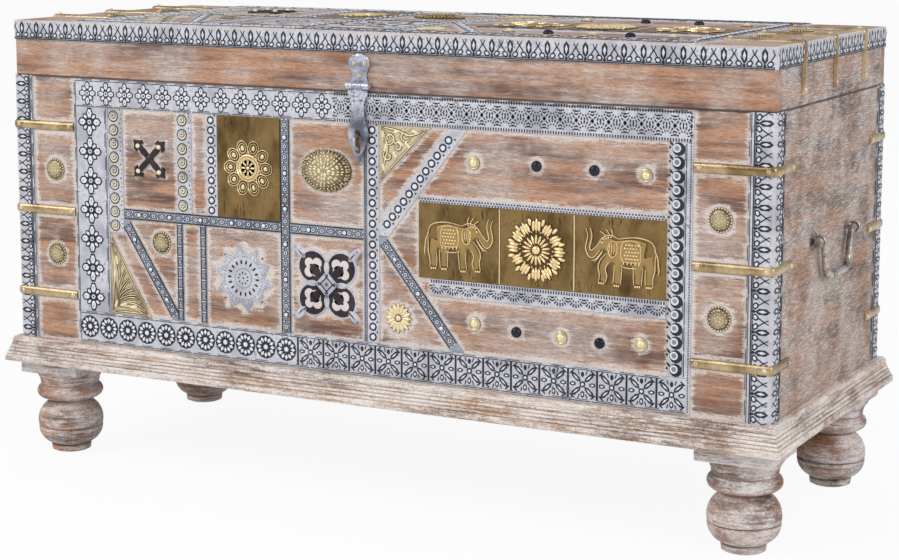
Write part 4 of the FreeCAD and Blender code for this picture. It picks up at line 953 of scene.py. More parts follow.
@dataclass(frozen=True)
class Elephant:
    """A walking elephant beaten out of sheet brass: soft masses, then chased details over them."""
    depth: float = 0.34
    voxel: float = 1.0
    soft: float = 1.7
    press: float = 0.42
    # x, y, z, radius along each soft limb
    masses: tuple[tuple[tuple[float, float, float, float], ...], ...] = (
        ((-30, 5, 0, 13), (-18, 7, 0, 15.5), (-4, 5, 0, 15), (8, 5, 0, 13)),
        ((8, 6, 0, 10), (16, 13, 0, 9.5), (24, 14, 0, 7.5)),
        ((24, 13, 0, 6), (31, 8, 0, 5), (36, -1, 0, 4.2), (41, -2, 0, 3.6), (44, 6, 0, 3), (41, 16, 0, 2.6),
         (40, 24, 0, 2.2), (44, 30, 0, 2)),
        ((-33, 0, 0, 8), (-38, -14, 0, 5.5), (-35, -24, 0, 4.5), (-36, -33, 0, 5)),
        ((-24, -2, 0, 8), (-20, -14, 0, 6), (-22, -25, 0, 4.5), (-21, -33, 0, 5)),
        ((4, -2, 0, 7.5), (6, -14, 0, 5.5), (4, -25, 0, 4.5), (6, -34, 0, 5)),
        ((12, 0, 0, 7), (21, -9, 0, 5.5), (26, -18, 0, 4.5), (22, -28, 0, 4.5), (25, -33, 0, 4)),
        ((-42, 8, 0, 2.4), (-47, -2, 0, 2.2), (-46, -12, 0, 2.2), (-48, -17, 0, 2.8)))

    def body(self) -> Piece:
        """Blends the masses into one skin and cuts it at the sheet."""
        parts = [Wire(mass, sides=12, steps=6).bend("elephant_mass", BRASS_BODY) for mass in self.masses]
        piece = join(parts, "elephant_body")
        apply_modifier(piece, "REMESH", mode="VOXEL", voxel_size=self.voxel * MM)
        apply_modifier(piece, "SMOOTH", factor=0.5, iterations=6)
        edit_all(piece)
        bpy.ops.mesh.bisect(plane_co=(0, 0, -SUNK / self.depth * MM), plane_no=(0, 0, 1), use_fill=True,
            clear_inner=True)
        close_mesh(piece, BRASS_BODY)
        placed(piece, Matrix.Diagonal((1, 1, self.depth, 1)))
        for vertex in piece.data.vertices:
            over = vertex.co.z / MM - self.soft
            if over > 0:
                vertex.co.z = (self.soft + over * self.press) * MM
        return piece

    def details(self) -> list[Piece]:
        """Blanket, harness, ear, eye, tusk, folds, toes and the lines of back, belly, legs and trunk."""
        top = self.soft + (15.0 * self.depth - self.soft) * self.press
        blanket = [domed(1.5, 1.3, 1.0, x + 2 * (row % 2), y, 0, 6, top - 0.7) for row, y in enumerate((-3,
            1.2, 5.4, 9.6, 13.8)) for x in (-22, -18.2, -14.4, -10.6, -6.8)]
        tassels = [domed(1.0, 2.4, 1.0, x, -8.6, 0, 6, top - 1.3) for x in (-23, -18, -13, -8, -3)]
        crown = [domed(1.3, 1.3, 1.0, x, y, 0, 6, 1.7) for x, y in ((17, 21), (20, 19.8), (23.5, 18),
            (13.5, 21.5))]
        eye = [domed(1.5, 1.2, 0.9, 25.0, 14.4, 0, 8, 1.9)]
        toes = [domed(1.3, 1.7, 1.2, x + step, y, 0, 6, 0.9)
                for x, y in ((-36, -36), (-21, -36), (6, -37), (26, -35.5)) for step in (-2.8, 0, 2.8)]
        spots = pressed("elephant_spots", blanket + tassels + crown + eye + toes, BRASS_RELIEF)
        high = [((-25, -6), (-25.5, 6), (-24, 17), (-14, 19.5), (-2, 18), (0.5, 6), (0, -6), (-12, -8),
            (-25, -6)), ((7, 17), (4, 10), (6, 1), (12, -4), (17, 3), (17, 12), (12, 18), (7, 17)),
            ((9.5, 14), (8, 8), (10, 1)), ((12.5, 15), (11.5, 8), (13, 0)), ((15, 13), (14.5, 7),
            (15.5, 3))]
        low = [((4, 20), (10, 23.5), (17, 24), (24, 21), (29, 15), (31, 11)), ((-44, 8), (-42, 17),
            (-34, 21.5), (-22, 23.5), (-8, 22.5), (4, 20)), ((30, 12), (35, 7), (39, 3), (42, 6), (40, 14),
            (38, 24), (41.5, 31)), ((28, 5), (33, -2), (38, -6), (44, -3), (47.5, 6), (45, 16), (43.5, 23),
            (47, 30)), ((24, 6), (28, -1), (35, -8), (39, -9)), ((25, 3), (30, -5), (35, -10)), ((-26, -13),
            (-16, -14.5), (-4, -14), (1, -12)), ((-44, 4), (-43, -6), (-43.5, -16), (-40, -25), (-41, -35)),
            ((-32, -14), (-30, -24), (-31.5, -34)), ((-27, -12), (-27.5, -24), (-26, -35)), ((-15, -10),
            (-16, -22), (-16, -34)), ((-1, -10), (-0.5, -22), (1, -35)), ((9.5, -12), (9, -24), (11, -35)),
            ((19, 2), (27, -5), (31, -16), (27.5, -25), (30, -34)), ((14, -6), (20, -13), (21, -20),
            (17.5, -27), (21, -34)), ((-42, 10), (-47, 2), (-47.5, -8), (-49, -15), (-47.5, -20)),
            ((16, 24.5), (18, 29), (21, 31)), ((12, 24), (12, 29), (14.5, 32)), ((21, 23), (25, 27),
            (28, 27.5))]
        raised_lines = ridges("elephant_harness", high, 1.5, 1.1, BRASS_RELIEF, top - 0.5)
        low_lines = ridges("elephant_lines", low, 1.9, 1.5, BRASS_RELIEF, 0.7)
        return [spots, raised_lines, low_lines]

    def build(self) -> Piece:
        """The whole figure."""
        lines = set_lift(join(self.details(), "elephant_lines"), -0.4, 2.6)
        return join([set_lift(self.body(), -1.8, 3.8), lines], "elephant")


def stretch_marks(wide: float, tall: float, seed: int) -> Piece:
    """Short folds that the beating leaves along a plate's upper and lower edge, and a few across it."""
    draw = random.Random(seed)
    lines = []
    for _ in range(14):
        side = draw.choice((-1, 1))
        x = draw.uniform(-0.46, 0.46) * wide
        length = draw.uniform(4, 0.14 * tall + 2)
        y = side * (tall / 2 - length / 2 - draw.uniform(0.5, 4))
        lean = draw.uniform(-2.5, 2.5)
        lines.append(((x, y + length / 2), (x + lean * 0.4, y), (x + lean, y - length / 2)))
    return ridges("plate_folds", lines, 1.6, 0.4, BRASS_RELIEF, -0.1, 0.25, 2)


def white_star(radius: float) -> Piece:
    """Ten points with engraved outlines round a wheel of dashes."""
    unit = radius / 45.0

    def layer(name: str, finish: Finish, half_x: float, half_y: float, out: float, rise: float,
              *discs: Point) -> Piece:
        """One step of the points, and discs of a radius and a rise."""
        point = Cell(half_x * unit, half_y * unit, sides=4, base=-SHEET, steps=((1.0, SHEET + rise),))
        cells = point.around(10, out * unit)
        for size, up in discs:
            cells.append(Cell(size * unit, size * unit, sides=32, base=-SHEET, steps=((1.0, SHEET + up),)))
        return pressed(name, cells, finish)

    layers = [layer("star_points", WHITE_SHEET, 11.4, 16.5, 28.5, 0.0, (32, 0.1)),
              layer("star_lines", STAR_LINE, 8.6, 12.6, 30.5, 0.2, (29.5, 0.35), (13.4, 0.75)),
              layer("star_fields", WHITE_SHEET, 7.6, 11.0, 30.5, 0.3, (28.6, 0.5), (12.5, 0.9)),
              layer("star_inner", STAR_LINE, 4.4, 6.6, 32.0, 0.45),
              layer("star_hearts", WHITE_SHEET, 3.5, 5.2, 32.0, 0.6)]
    dashes = Cell(1.5 * unit, 3.1 * unit, sides=6, base=0.3, steps=((1.0, 0.45),)).around(18, 21.5 * unit)
    dots = Cell(1.0, 1.6, sides=5, base=0.6, steps=((1.0, 0.55),)).around(9, 7.2 * unit)
    middle = Cell(1.3, 1.3, sides=6, base=0.6, steps=((1.0, 0.6),))
    marks = pressed("star_marks", [*dashes, *dots, middle], PATINA)
    pins = pressed("star_pins", domed(1.3, 1.3, 0.9, sides=8).around(4, 41 * unit, 36), BLACK_IRON)
    return set_lift(join([*layers, marks, pins], "white_star"), -0.5, 0.5)


def iron_scroll(radius: float) -> Piece:
    """Four black lobes with pale trefoils in them, tied by a pale lattice, with a leaf to each corner."""
    unit = radius / 50.0

    def spots(name: str, finish: Finish, rise: float, sides: int, *places: Sequence[float]) -> Piece:
        """Discs in each lobe, by their distance out, distance across and radius."""
        cells = []
        for index in range(4):
            angle = math.radians(45 + 90 * index)
            for out, across, size in places:
                x = (-math.sin(angle) * out + math.cos(angle) * across) * unit
                y = (math.cos(angle) * out + math.sin(angle) * across) * unit
                cells.append(Cell(size * unit, size * unit, x, y, 0, sides, -SHEET, ((0.97, SHEET + rise),
                    (0.9, 0.2))))
        return pressed(name, cells, finish)

    layers = [spots("scroll_rims", WHITE_SHEET, -0.4, 28, (30.5, 0, 22.6)),
              spots("scroll_lobes", BLACK_IRON, 0.2, 28, (30.5, 0, 20.6)),
              spots("scroll_trefoils", SCROLL_PALE, 0.6, 14, (37.5, 0, 6.6), (29, 8.6, 7.2),
                    (29, -8.6, 7.2), (25, 0, 9.0)),
              spots("scroll_clubs", BLACK_IRON, 1.0, 10, (22, 0, 6.4), (29, 2.6, 3.2), (29, -2.6, 3.2),
                    (33, 0, 2.0))]
    ray = Cell(4.4 * unit, 9.5 * unit, sides=8, base=-SHEET, steps=((0.9, SHEET + 1.2),))
    tie = [Cell(17.0 * unit, 17.0 * unit, sides=4, base=-SHEET, steps=((1.0, SHEET + 1.3),)),
           *ray.around(4, 22 * unit)]
    layers.append(pressed("scroll_tie", tie, WHITE_SHEET))
    leaves = Cell(6.2 * unit, 13.0 * unit, sides=12, base=-SHEET, steps=((0.8, SHEET + 0.9), (0.4, 0.8)))
    layers.append(pressed("scroll_leaves", leaves.around(4, 57.0 * unit, 45), WHITE_SHEET))
    dark = [bar_at(0.75, 8.6, side * 4.6, up * 4.6, side * up * 45, 1.4) for side, up in ((1, 1), (-1, -1),
        (1, -1), (-1, 1))]
    dark += [bar_at(0.6, 2.6, x, y, turn, 1.4) for x, y, turn in ((12, 0, 0), (-12, 0, 0), (0, 12, 90),
        (0, -12, 90))]
    for lean, level in ((-5.2, 1.2), (0.0, 1.9), (5.2, 1.2)):
        dark += Cell(0.9, 7.6 * unit, lean * 0.5, 0, lean, 4, level - 0.6, ((1.0, 0.75),)).around(4,
            54 * unit, 45)
    layers.append(pressed("scroll_veins", dark, PATINA))
    nails = (domed(2.5, 2.5, 1.4, base=1.0, sides=10).around(4, 15.5 * unit) + domed(2.1, 2.1, 1.3,
        base=0.5, sides=10).around(4, 65 * unit, 45) + [domed(2.5, 2.5, 1.4, base=1.1, sides=10)])
    layers.append(pressed("scroll_nails", nails, GREY_IRON))
    return set_lift(join(layers, "iron_scroll"), -0.5, 1.0)


def bar_at(half_x: float, half_y: float, x: float, y: float, turn: float, level: float) -> Cell:
    """A dark dash on a raised face."""
    return Cell(half_x, half_y, x, y, turn, base=level - 0.6, steps=((1.0, 0.75),), outline=Outline.BAR)


def gilt_oval(half_x: float, half_y: float) -> Piece:
    """A beaten oval dome, its face broken into small scales."""
    draw = random.Random(5)
    dome = Cell(half_x, half_y, sides=40, base=-SHEET, steps=((0.99, 2.0), (0.94, 1.1), (0.8, 2.2),
        (0.6, 1.6), (0.35, 0.9), (0.12, 0.2)))
    heights = ((0.2, 6.2), (0.38, 5.7), (0.55, 4.9), (0.7, 3.7), (0.84, 2.3), (0.95, 0.9))
    scales = []
    for share, level in heights:
        count = round(46 * share)
        for index in range(count):
            angle = 2 * math.pi * (index + draw.uniform(-0.2, 0.2)) / count
            x, y = half_x * share * math.cos(angle), half_y * share * math.sin(angle)
            turn = math.degrees(math.atan2(y, x)) - 90 + draw.uniform(-16, 16)
            scales.append(Cell(draw.uniform(1.4, 2.3), draw.uniform(2.8, 4.4), x, y, turn, 6, level - 0.8,
                ((0.75, 1.2), (0.3, draw.uniform(0.3, 0.8)))))
    edge = domed(1.0, 1.5, 1.4, base=-SHEET + 0.4, sides=6)
    rim = []
    for index in range(44):
        angle = 2 * math.pi * index / 44
        rim.append(replace(edge, x=half_x * 0.99 * math.cos(angle), y=half_y * 0.99 * math.sin(angle),
            turn=math.degrees(angle)))
    body = pressed("oval_dome", [dome], GILT_RELIEF)
    set_lift(body, 1.0, 15.0)
    return join([body, set_lift(pressed("oval_scales", scales + rim, GILT_RELIEF), -1.6, 7.6)], "gilt_oval")


def gilt_medallion(radius: float = 15.0) -> Piece:
    """A round boss with a beaded rim and a broken face."""
    draw = random.Random(8)
    dome = Cell(radius * 0.9, radius * 0.9, sides=28, base=-SHEET, steps=((0.98, 1.8), (0.88, 1.0),
        (0.6, 1.2), (0.25, 0.5)))
    beads = domed(1.6, 1.5, 1.9, base=-SHEET + 0.5, sides=6).around(24, radius * 0.94)
    scales = []
    for share, count, level in ((0.22, 5, 2.2), (0.45, 11, 1.7), (0.68, 16, 0.9)):
        for index in range(count):
            angle = 360.0 * index / count + draw.uniform(-8, 8)
            scales += Cell(draw.uniform(1.0, 1.5), draw.uniform(1.5, 2.3), 0, 0, draw.uniform(-20, 20), 6,
                level - 0.6, ((0.7, 1.2), (0.25, 0.5))).around(1, radius * share, angle)
    body = set_lift(pressed("medallion_dome", [dome], GILT_RELIEF), -1.0, 9.0)
    return join([body, set_lift(pressed("medallion_scales", beads + scales, GILT_RELIEF), -1.2, 2.4)],
                "gilt_medallion")


def iron_cross(reach: float) -> Piece:
    """Two crowned iron bars that cross, with pointed ends and a gilt nail in each."""
    arm = Cell(4.3, reach * 0.42, sides=8, base=-SHEET, steps=((0.92, SHEET + 1.6), (0.55, 1.0)))
    tip = Cell(5.6, 7.4, sides=4, base=-SHEET, steps=((0.9, SHEET + 1.4), (0.4, 0.6)))
    barb = Cell(3.4, 5.2, sides=4, base=-SHEET, steps=((0.8, SHEET + 1.2),))
    cells = arm.around(4, reach * 0.4, 45) + tip.around(4, reach - 5.0, 45)
    for lean in (-13, 13):
        cells += replace(barb, turn=-lean * 3).around(4, reach - 7.0, 45 + lean)
    iron = pressed("cross_iron", cells + [domed(6.2, 6.2, 2.8, sides=12)], BLACK_IRON)
    nails = pressed("cross_nails", domed(3.6, 3.6, 3.4, base=1.2, sides=12).around(4, reach - 9.0, 45),
        GILT_RELIEF)
    return join([iron, set_lift(nails, 0.8, 3.6)], "iron_cross")


def gilt_stud(radius: float) -> Piece:
    """A gilt nail head with a ringed rim and a bead."""
    head = Cell(radius, radius, sides=20, base=-SHEET, steps=((0.96, 2.0), (0.84, 0.5), (0.7, -0.7),
        (0.6, 0.4), (0.42, 2.0), (0.2, 0.8)))
    teeth = domed(0.8, 1.1, 0.8, base=-0.4, sides=5).around(16, radius * 0.88)
    return set_lift(pressed("gilt_stud", [head] + teeth, GILT_RELIEF), -1.9, 3.4)


def iron_stud(radius: float) -> Piece:
    """A round blackened nail head."""
    head = Cell(radius, radius, sides=20, base=-SHEET, steps=((1.0, 1.5), (0.94, 1.2), (0.78, 1.5),
        (0.5, 1.0), (0.2, 0.4)))
    return pressed("iron_stud", [head], STUD_IRON)


def spiral(x: float, y: float, radius: float, start: float, turns: float) -> list[tuple[float, float]]:
    """Points of a curl that winds inwards."""
    points = []
    count = round(8 * abs(turns)) + 2
    for index in range(count):
        share = index / (count - 1)
        angle = math.radians(start + 360 * turns * share)
        size = radius * (1 - 0.8 * share)
        points.append((x + size * math.cos(angle), y + size * math.sin(angle)))
    return points


def leaf_fan(wide: float, tall: float) -> Piece:
    """Fronds that spread from the foot of a tall triangle, with its square corner at the origin."""
    base = plate_of("fan_sheet", ((0, 0), (wide, 0), (0, tall)), SHEET, GILT_SHEET, -SHEET)
    fronds = []
    for index in range(9):
        share = index / 8
        end = Vector((wide * 0.88 * (1 - share) + 2, tall * 0.84 * share + 3))
        root = Vector((wide * 0.12 + 2, tall * (0.1 + 0.2 * share)))
        middle = (root + end) / 2 + Vector((-0.06 * tall * (share - 0.2), 0.08 * tall))
        fronds.append((tuple(root), tuple(middle), tuple(end)))
        fronds.append(((root.x + 2.5, root.y - 1), (middle.x + 3.0, middle.y - 2.5), (end.x + 0.5,
            end.y - 4.5)))
    bracts = [((3, 4), (4, tall * 0.3), (8, tall * 0.62), (4, tall * 0.86)), ((6, 2.5), (wide * 0.45, 4.5),
        (wide * 0.85, 3)), ((2.5, tall * 0.93), (wide * 0.45, tall * 0.46), (wide * 0.9, 4))]
    leaves = [domed(2.6, 7.5, 1.1, x * wide, y * tall, turn, 8) for x, y, turn in
              ((0.16, 0.66, 12), (0.1, 0.5, -8), (0.3, 0.12, -70), (0.55, 0.1, -80), (0.12, 0.12, -20))]
    lines = ridges("fan_fronds", fronds + bracts, 2.6, 1.3, GILT_RELIEF, 0.0, 0.35)
    base = join([base, ridges("fan_shade", fronds + bracts, 4.8, 0.5, GILT_DARK, 0.0, 0.5)], "fan_sheet")
    return join([base, set_lift(lines, -0.1, 1.2), set_lift(pressed("fan_leaves", leaves, GILT_RELIEF),
        -0.1, 1.2)], "leaf_fan")


def leaf_curls(size: float) -> Piece:
    """Curled foliage in a triangle whose square corner is at the upper left, at the origin."""
    base = plate_of("curl_sheet", ((0, 0), (0, -size), (size, 0)), SHEET, GILT_SHEET, -SHEET)
    curls = [spiral(0.2 * size, -0.22 * size, 0.13 * size, 200, 1.2), spiral(0.5 * size, -0.17 * size,
        0.12 * size, 20, -1.2), spiral(0.17 * size, -0.52 * size, 0.11 * size, 90, 1.1), spiral(0.36 * size,
        -0.36 * size, 0.09 * size, 150, -1.1)]
    stems = [((3, -3), (0.2 * size, -0.34 * size), (0.1 * size, -0.6 * size), (4, -0.86 * size)),
             ((3, -2.5), (0.36 * size, -0.06 * size), (0.62 * size, -0.2 * size), (0.86 * size, -4)),
             ((2.5, -0.93 * size), (0.46 * size, -0.47 * size), (0.93 * size, -2.5)),
             ((6, -6), (0.3 * size, -0.26 * size), (0.42 * size, -0.4 * size))]
    leaves = [domed(2.3, 5.6, 1.2, x * size, y * size, turn, 8) for x, y, turn in
              ((0.08, -0.72, 20), (0.3, -0.5, 30), (0.7, -0.09, 70), (0.42, -0.3, 60), (0.12, -0.38, -20),
               (0.34, -0.1, 100), (0.07, -0.16, 0), (0.55, -0.32, 45))]
    lines = ridges("curl_lines", curls + stems, 2.6, 1.4, GILT_RELIEF, 0.0, 0.4)
    base = join([base, ridges("curl_shade", curls + stems, 4.8, 0.5, GILT_DARK, 0.0, 0.5)], "curl_sheet")
    return join([base, set_lift(lines, -0.2, 1.1), set_lift(pressed("curl_leaves", leaves, GILT_RELIEF),
        -0.3, 1.1)], "leaf_curls")


# The inlaid field, the same on the front and on the lid

@dataclass(frozen=True)
class InlaidField:
    """Metalwork set into a panel: bands round it, strips across it, plates and bosses in its bays."""
    board: Board
    body: str
    label: str
    height: float
    stands_for: dict[str, str]
    margin: float = 100.0
    left_band: float = 56.0
    right_band: float = 28.0
    top_band: float = 38.0
    bottom_band: float = 44.0
    edge_gap: float = 1.5
    crescent_w: float = 24.0
    ring_w: float = 18.0
    dark_w: float = 15.0
    thin_w: float = 10.0
    line_w: float = 5.0
    row_h: float = 14.0
    leaf_w: float = 66.0
    leaf_h: float = 112.0
    spandrel: float = 74.0
    brace_reach: float = 112.0
    band_h: float = 95.0
    lace_h: float = 22.0
    dotted_h: float = 7.0
    band_end: float = 4.0
    gap: float = 1.0
    # shares of the field's height at the cross strip and the brass band
    row_share: float = 0.47
    band_share: float = 0.324
    # shares of its length where rows change and uprights stand
    flowers_end: float = 0.434
    rosettes_end: float = 0.364
    thin_at: tuple[float, float] = (0.135, 0.181)
    crescents_at: float = 0.137
    rings_at: float = 0.195
    upright_at: float = 0.336
    post_at: float = 0.495
    brass_at: float = 0.587
    lace_at: float = 0.607

    @property
    def outer(self) -> float:
        """Half the length between the bands' outer edges."""
        return CHEST.half_w - self.margin

    @property
    def left(self) -> float:
        """Left edge of the field inside its bands."""
        return -self.outer + self.left_band

    @property
    def right(self) -> float:
        """Right edge of the field inside its bands."""
        return self.outer - self.right_band

    @property
    def bottom(self) -> float:
        """Lower edge of the field inside its bands."""
        return self.edge_gap + self.bottom_band

    @property
    def top(self) -> float:
        """Upper edge of the field inside its bands."""
        return self.height - self.edge_gap - self.top_band

    def x(self, share: float) -> float:
        """A place along the field."""
        return self.left + share * (self.right - self.left)

    def y(self, share: float) -> float:
        """A place up the field."""
        return self.bottom + share * (self.top - self.bottom)

    @property
    def row(self) -> float:
        """Lower edge of the cross strip."""
        return self.y(self.row_share)

    @property
    def post(self) -> float:
        """Right edge of the ringed post."""
        return self.x(self.post_at) + self.ring_w

    @property
    def middle_bay(self) -> Point:
        """Left and right edge of the bay with the oval and the scroll."""
        return self.x(self.upright_at) + self.dark_w, self.post - self.ring_w - self.line_w

    def run(self, motif: Motif, name: str, start: Point, length: float, turn: float = 0.0) -> None:
        """Lays a row of a motif on this field."""
        motif.row(f"{self.label}_{name}", self.board, start, turn, length, self.body)

    def rise(self, motif: Motif, name: str, x: float, low: float, high: float) -> None:
        """Lays an upright row between two heights."""
        self.run(motif, name, (x, low), high - low, 90)

    def put(self, piece: Piece, name: str, place: Point, finish: Finish, turn: float = 0.0,
            out: float = SHEET, degrees: float = 0.0) -> None:
        """Places one ornament on this field, shading it smooth up to an angle where one is given."""
        placed(named(piece, f"{self.label}_{name}"), CHEST.spot(self.board, *place, turn, out))
        if degrees:
            smooth(piece, degrees)
        ride_with(piece, self.body, finish, *[self.stands_for[name]] if name in self.stands_for else [])

    def bands(self) -> None:
        """Rows of flowers, lace, leaves and moons in the four outer bands."""
        outer, edge = self.outer, self.edge_gap
        low_y, high_y = edge + self.bottom_band / 2, self.height - edge - self.top_band / 2
        split_x, rosette_end = self.x(self.flowers_end), self.x(self.rosettes_end)
        self.run(DIAMOND_FLOWER, "top_flowers", (-outer + 8, high_y), split_x + outer - 8)
        self.run(LACE_NET, "top_lace", (split_x + 2, high_y), outer - split_x - 4)
        self.run(ROSETTE, "bottom_rosettes", (-outer + 3, low_y), rosette_end + outer - 3)
        self.run(LEAF_BOX, "bottom_leaves", (rosette_end + 2, low_y), outer - rosette_end - 5)
        self.rise(TALL_FLOWER, "left_flowers", -outer + self.left_band / 2 - 2, self.bottom, self.top)
        self.rise(MOON, "right_moons", self.right + 9.5, self.bottom, self.top)
        self.rise(BEAD_LINE, "right_beads", outer - 2.2, edge + 2, self.height - edge - 2)
        lines = (("top_line", self.height - edge - 2.5, 2 * outer - 8),
                 ("under_line", self.top + 1.6, split_x + outer),
                 ("over_line", self.bottom - 3.6, 2 * outer - 40),
                 ("bottom_line", edge + 1.6, 2 * outer - 8))
        for name, y, length in lines:
            self.run(EDGE_LINE, name, (-outer + 4, y), length)
        self.run(EDGE_LINE, "outer_line", (-outer + 3.2, edge + 3), self.height - 8, 90)
        self.rise(EDGE_LINE, "inner_line", self.left - 3.0, self.bottom, self.top)
        self.rise(EDGE_LINE, "moon_line", self.right + 20.2, self.bottom, self.top)

    def chased(self, name: str, start: Point, end: Point, inset: float) -> None:
        """A chased row with its nails between two points of a narrow strip, held back from both."""
        first, length, turn = held_back(start, end, inset)
        self.run(CHASED, "chased_" + name, first, length, turn)
        self.run(STRIP_NAIL, "nails_" + name, first, length, turn)

    def strips(self) -> None:
        """Rows on the strips that cross the field."""
        gap = self.gap
        low, high = self.bottom + gap, self.top - gap
        row_top, middle = self.row + self.row_h, self.row + self.row_h / 2
        half = self.crescent_w / 2
        self.rise(GILT_MOON, "gilt_moons_left", self.left + half, self.bottom + self.leaf_h + gap, high)
        self.rise(GILT_MOON, "gilt_moons", self.x(self.crescents_at) + half, row_top + gap, high)
        self.rise(SMALL_RING, "rings", self.x(self.rings_at) + self.ring_w / 2, row_top + gap, high)
        self.rise(SMALL_RING, "rings_post", self.post - self.ring_w / 2, low, high)
        foot = (self.post, middle)
        first, length, turn = held_back(foot, (self.post + self.brace_reach, self.top), 13)
        self.run(SMALL_RING, "rings_brace", first, length, turn)
        self.chased("brace", foot, (self.post + self.brace_reach, self.bottom), 10)
        dark, line = self.x(self.upright_at), self.middle_bay[1]
        upright = dark + self.dark_w / 2
        self.chased("upright", (upright, self.bottom), (upright, self.top), gap)
        left = self.left + self.crescent_w
        self.chased("row_left", (left, middle), (dark, middle), gap)
        self.chased("row_right", (dark + self.dark_w, middle), (line, middle), gap)
        self.chased("low_brace", (left, self.row), (self.x(self.thin_at[0]), self.bottom), 9)
        for index, share in enumerate(self.thin_at):
            self.rise(CHASED_FINE, f"chased_thin_{index}", self.x(share) + self.thin_w / 2, low,
                self.row - gap)
        self.rise(BEAD_LINE, "post_beads", line + self.line_w / 2, low, high)
        start, end, level = self.x(self.lace_at), self.right - self.band_end, self.y(self.band_share)
        self.run(LACE_EDGE, "lace_edge", (start, level - self.lace_h / 2), end - start)
        start = self.x(self.brass_at)
        self.run(DOT_LINE, "dotted", (start, level + self.band_h + self.dotted_h / 2), end - start)

    def flower(self) -> None:
        """The tall brass plate with its flower."""
        left, right = self.x(self.rings_at) + self.ring_w + 0.5, self.x(self.upright_at) - 0.5
        low, high = self.row + self.row_h + 0.5, self.top - 0.5
        plate = sheet_plate("flower_sheet", right - left, high - low, BRASS_SHEET)
        whole = join([plate, brass_flower(), stretch_marks(right - left, high - low, 4)], "flower")
        self.put(smooth(whole), "flower", ((left + right) / 2, (low + high) / 2), BRASS_SHEET)

    def brass_band(self) -> None:
        """The elephants and the rosette between them, with beaded joints."""
        start, end = self.x(self.brass_at), self.right - self.band_end
        first, second = (start + share * (end - start) for share in (0.335, 0.647))
        level = self.y(self.band_share) + self.band_h / 2
        bays = (("elephant_left", start, first - 0.5), ("rosette_plate", first + 0.5, second - 0.5),
                ("elephant_right", second + 0.5, end))
        for name, left, right in bays:
            wide = right - left
            parts = [sheet_plate("band_sheet", wide, self.band_h, BRASS_SHEET),
                     stretch_marks(wide, self.band_h, len(name))]
            if name == "rosette_plate":
                parts.append(brass_rosette())
                half = self.band_h / 2 - 1
                seams = [((x, -half), (x + 0.6, 0), (x, half)) for x in (1.0 - wide / 2, wide / 2 - 1.0)]
                parts.append(set_lift(ridges("plate_seams", seams, 2.4, 1.3, BRASS_RELIEF, 0.0, 0.8), -0.4,
                    1.2))
            else:
                figure = Elephant().build()
                if name == "elephant_right":
                    mirrored_in_x(figure)
                parts.append(placed(figure, Matrix.Translation((2 * MM, 2 * MM, 0))))
            self.put(smooth(join(parts, name)), name, ((left + right) / 2, level), BRASS_SHEET)

    def star_and_scroll(self) -> None:
        """The white star in the lower bay and the four-lobed ironwork beside it."""
        left, right = self.x(self.thin_at[1]) + self.thin_w, self.x(self.upright_at)
        self.put(white_star((right - left) / 2 - 13.2), "star", ((left + right) / 2, self.y(0.238)),
            WHITE_SHEET, 8.0)
        left, right = self.middle_bay
        self.put(iron_scroll((right - left) / 2 - 4.9), "scroll", ((left + right) / 2, self.y(0.249)),
            WHITE_SHEET)

    def bosses(self) -> None:
        """Oval, cross, medallions, studs and sunflower."""
        left, right = self.middle_bay
        half = (right - left) / 2 - 17.9
        centre = (left + right) / 2, self.y(0.774)
        self.put(gilt_oval(half, half * 0.716), "oval", centre, GILT_RELIEF, degrees=48)
        left, right = self.left + self.crescent_w, self.x(self.crescents_at)
        centre = (left + right) / 2, self.y(0.769)
        self.put(iron_cross((right - left) / 2 - 10.9), "cross", centre, BLACK_IRON, degrees=48)
        side = CHEST.half_w - (self.margin + 30.0) / 2
        places = [(x, share * self.height) for x in (-side, side) for share in (0.33, 0.65)]
        self.scattered(gilt_medallion(), "medallions", [*places, (self.x(0.104), self.y(0.37))], GILT_RELIEF)
        gilt = ((0.681, 0.854), (0.962, 0.85), (0.683, 0.137), (0.828, 0.117), (0.957, 0.124))
        iron = ((0.786, 0.858), (0.88, 0.856), (0.754, 0.119), (0.891, 0.11))
        self.scattered(gilt_stud(8.4), "gilt_studs", [(self.x(x), self.y(y)) for x, y in gilt], GILT_RELIEF)
        self.scattered(iron_stud(6.8), "iron_studs", [(self.x(x), self.y(y)) for x, y in iron], STUD_IRON)
        self.put(daisy("sunflower", GILT_RELIEF, 20.5, 16, 2.6), "sunflower", (self.x(0.55), self.y(0.126)),
                 GILT_RELIEF, out=0.0, degrees=48)

    def scattered(self, master: Piece, name: str, places: Sequence[Point], finish: Finish) -> None:
        """Copies of one ornament at several places, turned a little each, in one piece."""
        copies = []
        for index, (x, y) in enumerate(places):
            copy = master if index == len(places) - 1 else copied(master)
            copies.append(placed(copy, Matrix.Translation((x * MM, y * MM, 0)) @ Matrix.Rotation(
                math.radians(37 * index), 4, "Z")))
        self.put(join(copies, name), name, (0.0, 0.0), finish, degrees=48)

    def dress(self) -> None:
        """Makes all the metalwork of this field."""
        self.bands()
        self.strips()
        self.put(leaf_fan(self.leaf_w, self.leaf_h), "leaf_fan", (self.left + 0.5, self.bottom + 0.5),
            GILT_SHEET)
        self.put(leaf_curls(self.spandrel), "leaf_curls", (self.post + 0.5, self.top - 0.5), GILT_SHEET)
        self.flower()
        self.brass_band()
        self.star_and_scroll()
        self.bosses()


def held_back(start: Point, end: Point, inset: float) -> tuple[Point, float, float]:
    """Where a row between two points starts, its length and its direction, with both ends held back."""
    (ax, ay), (bx, by) = start, end
    length = math.hypot(bx - ax, by - ay)
    first = (ax + (bx - ax) * inset / length, ay + (by - ay) * inset / length)
    return first, length - 2 * inset, math.degrees(math.atan2(by - ay, bx - ax))


# Boards of the case and the lid

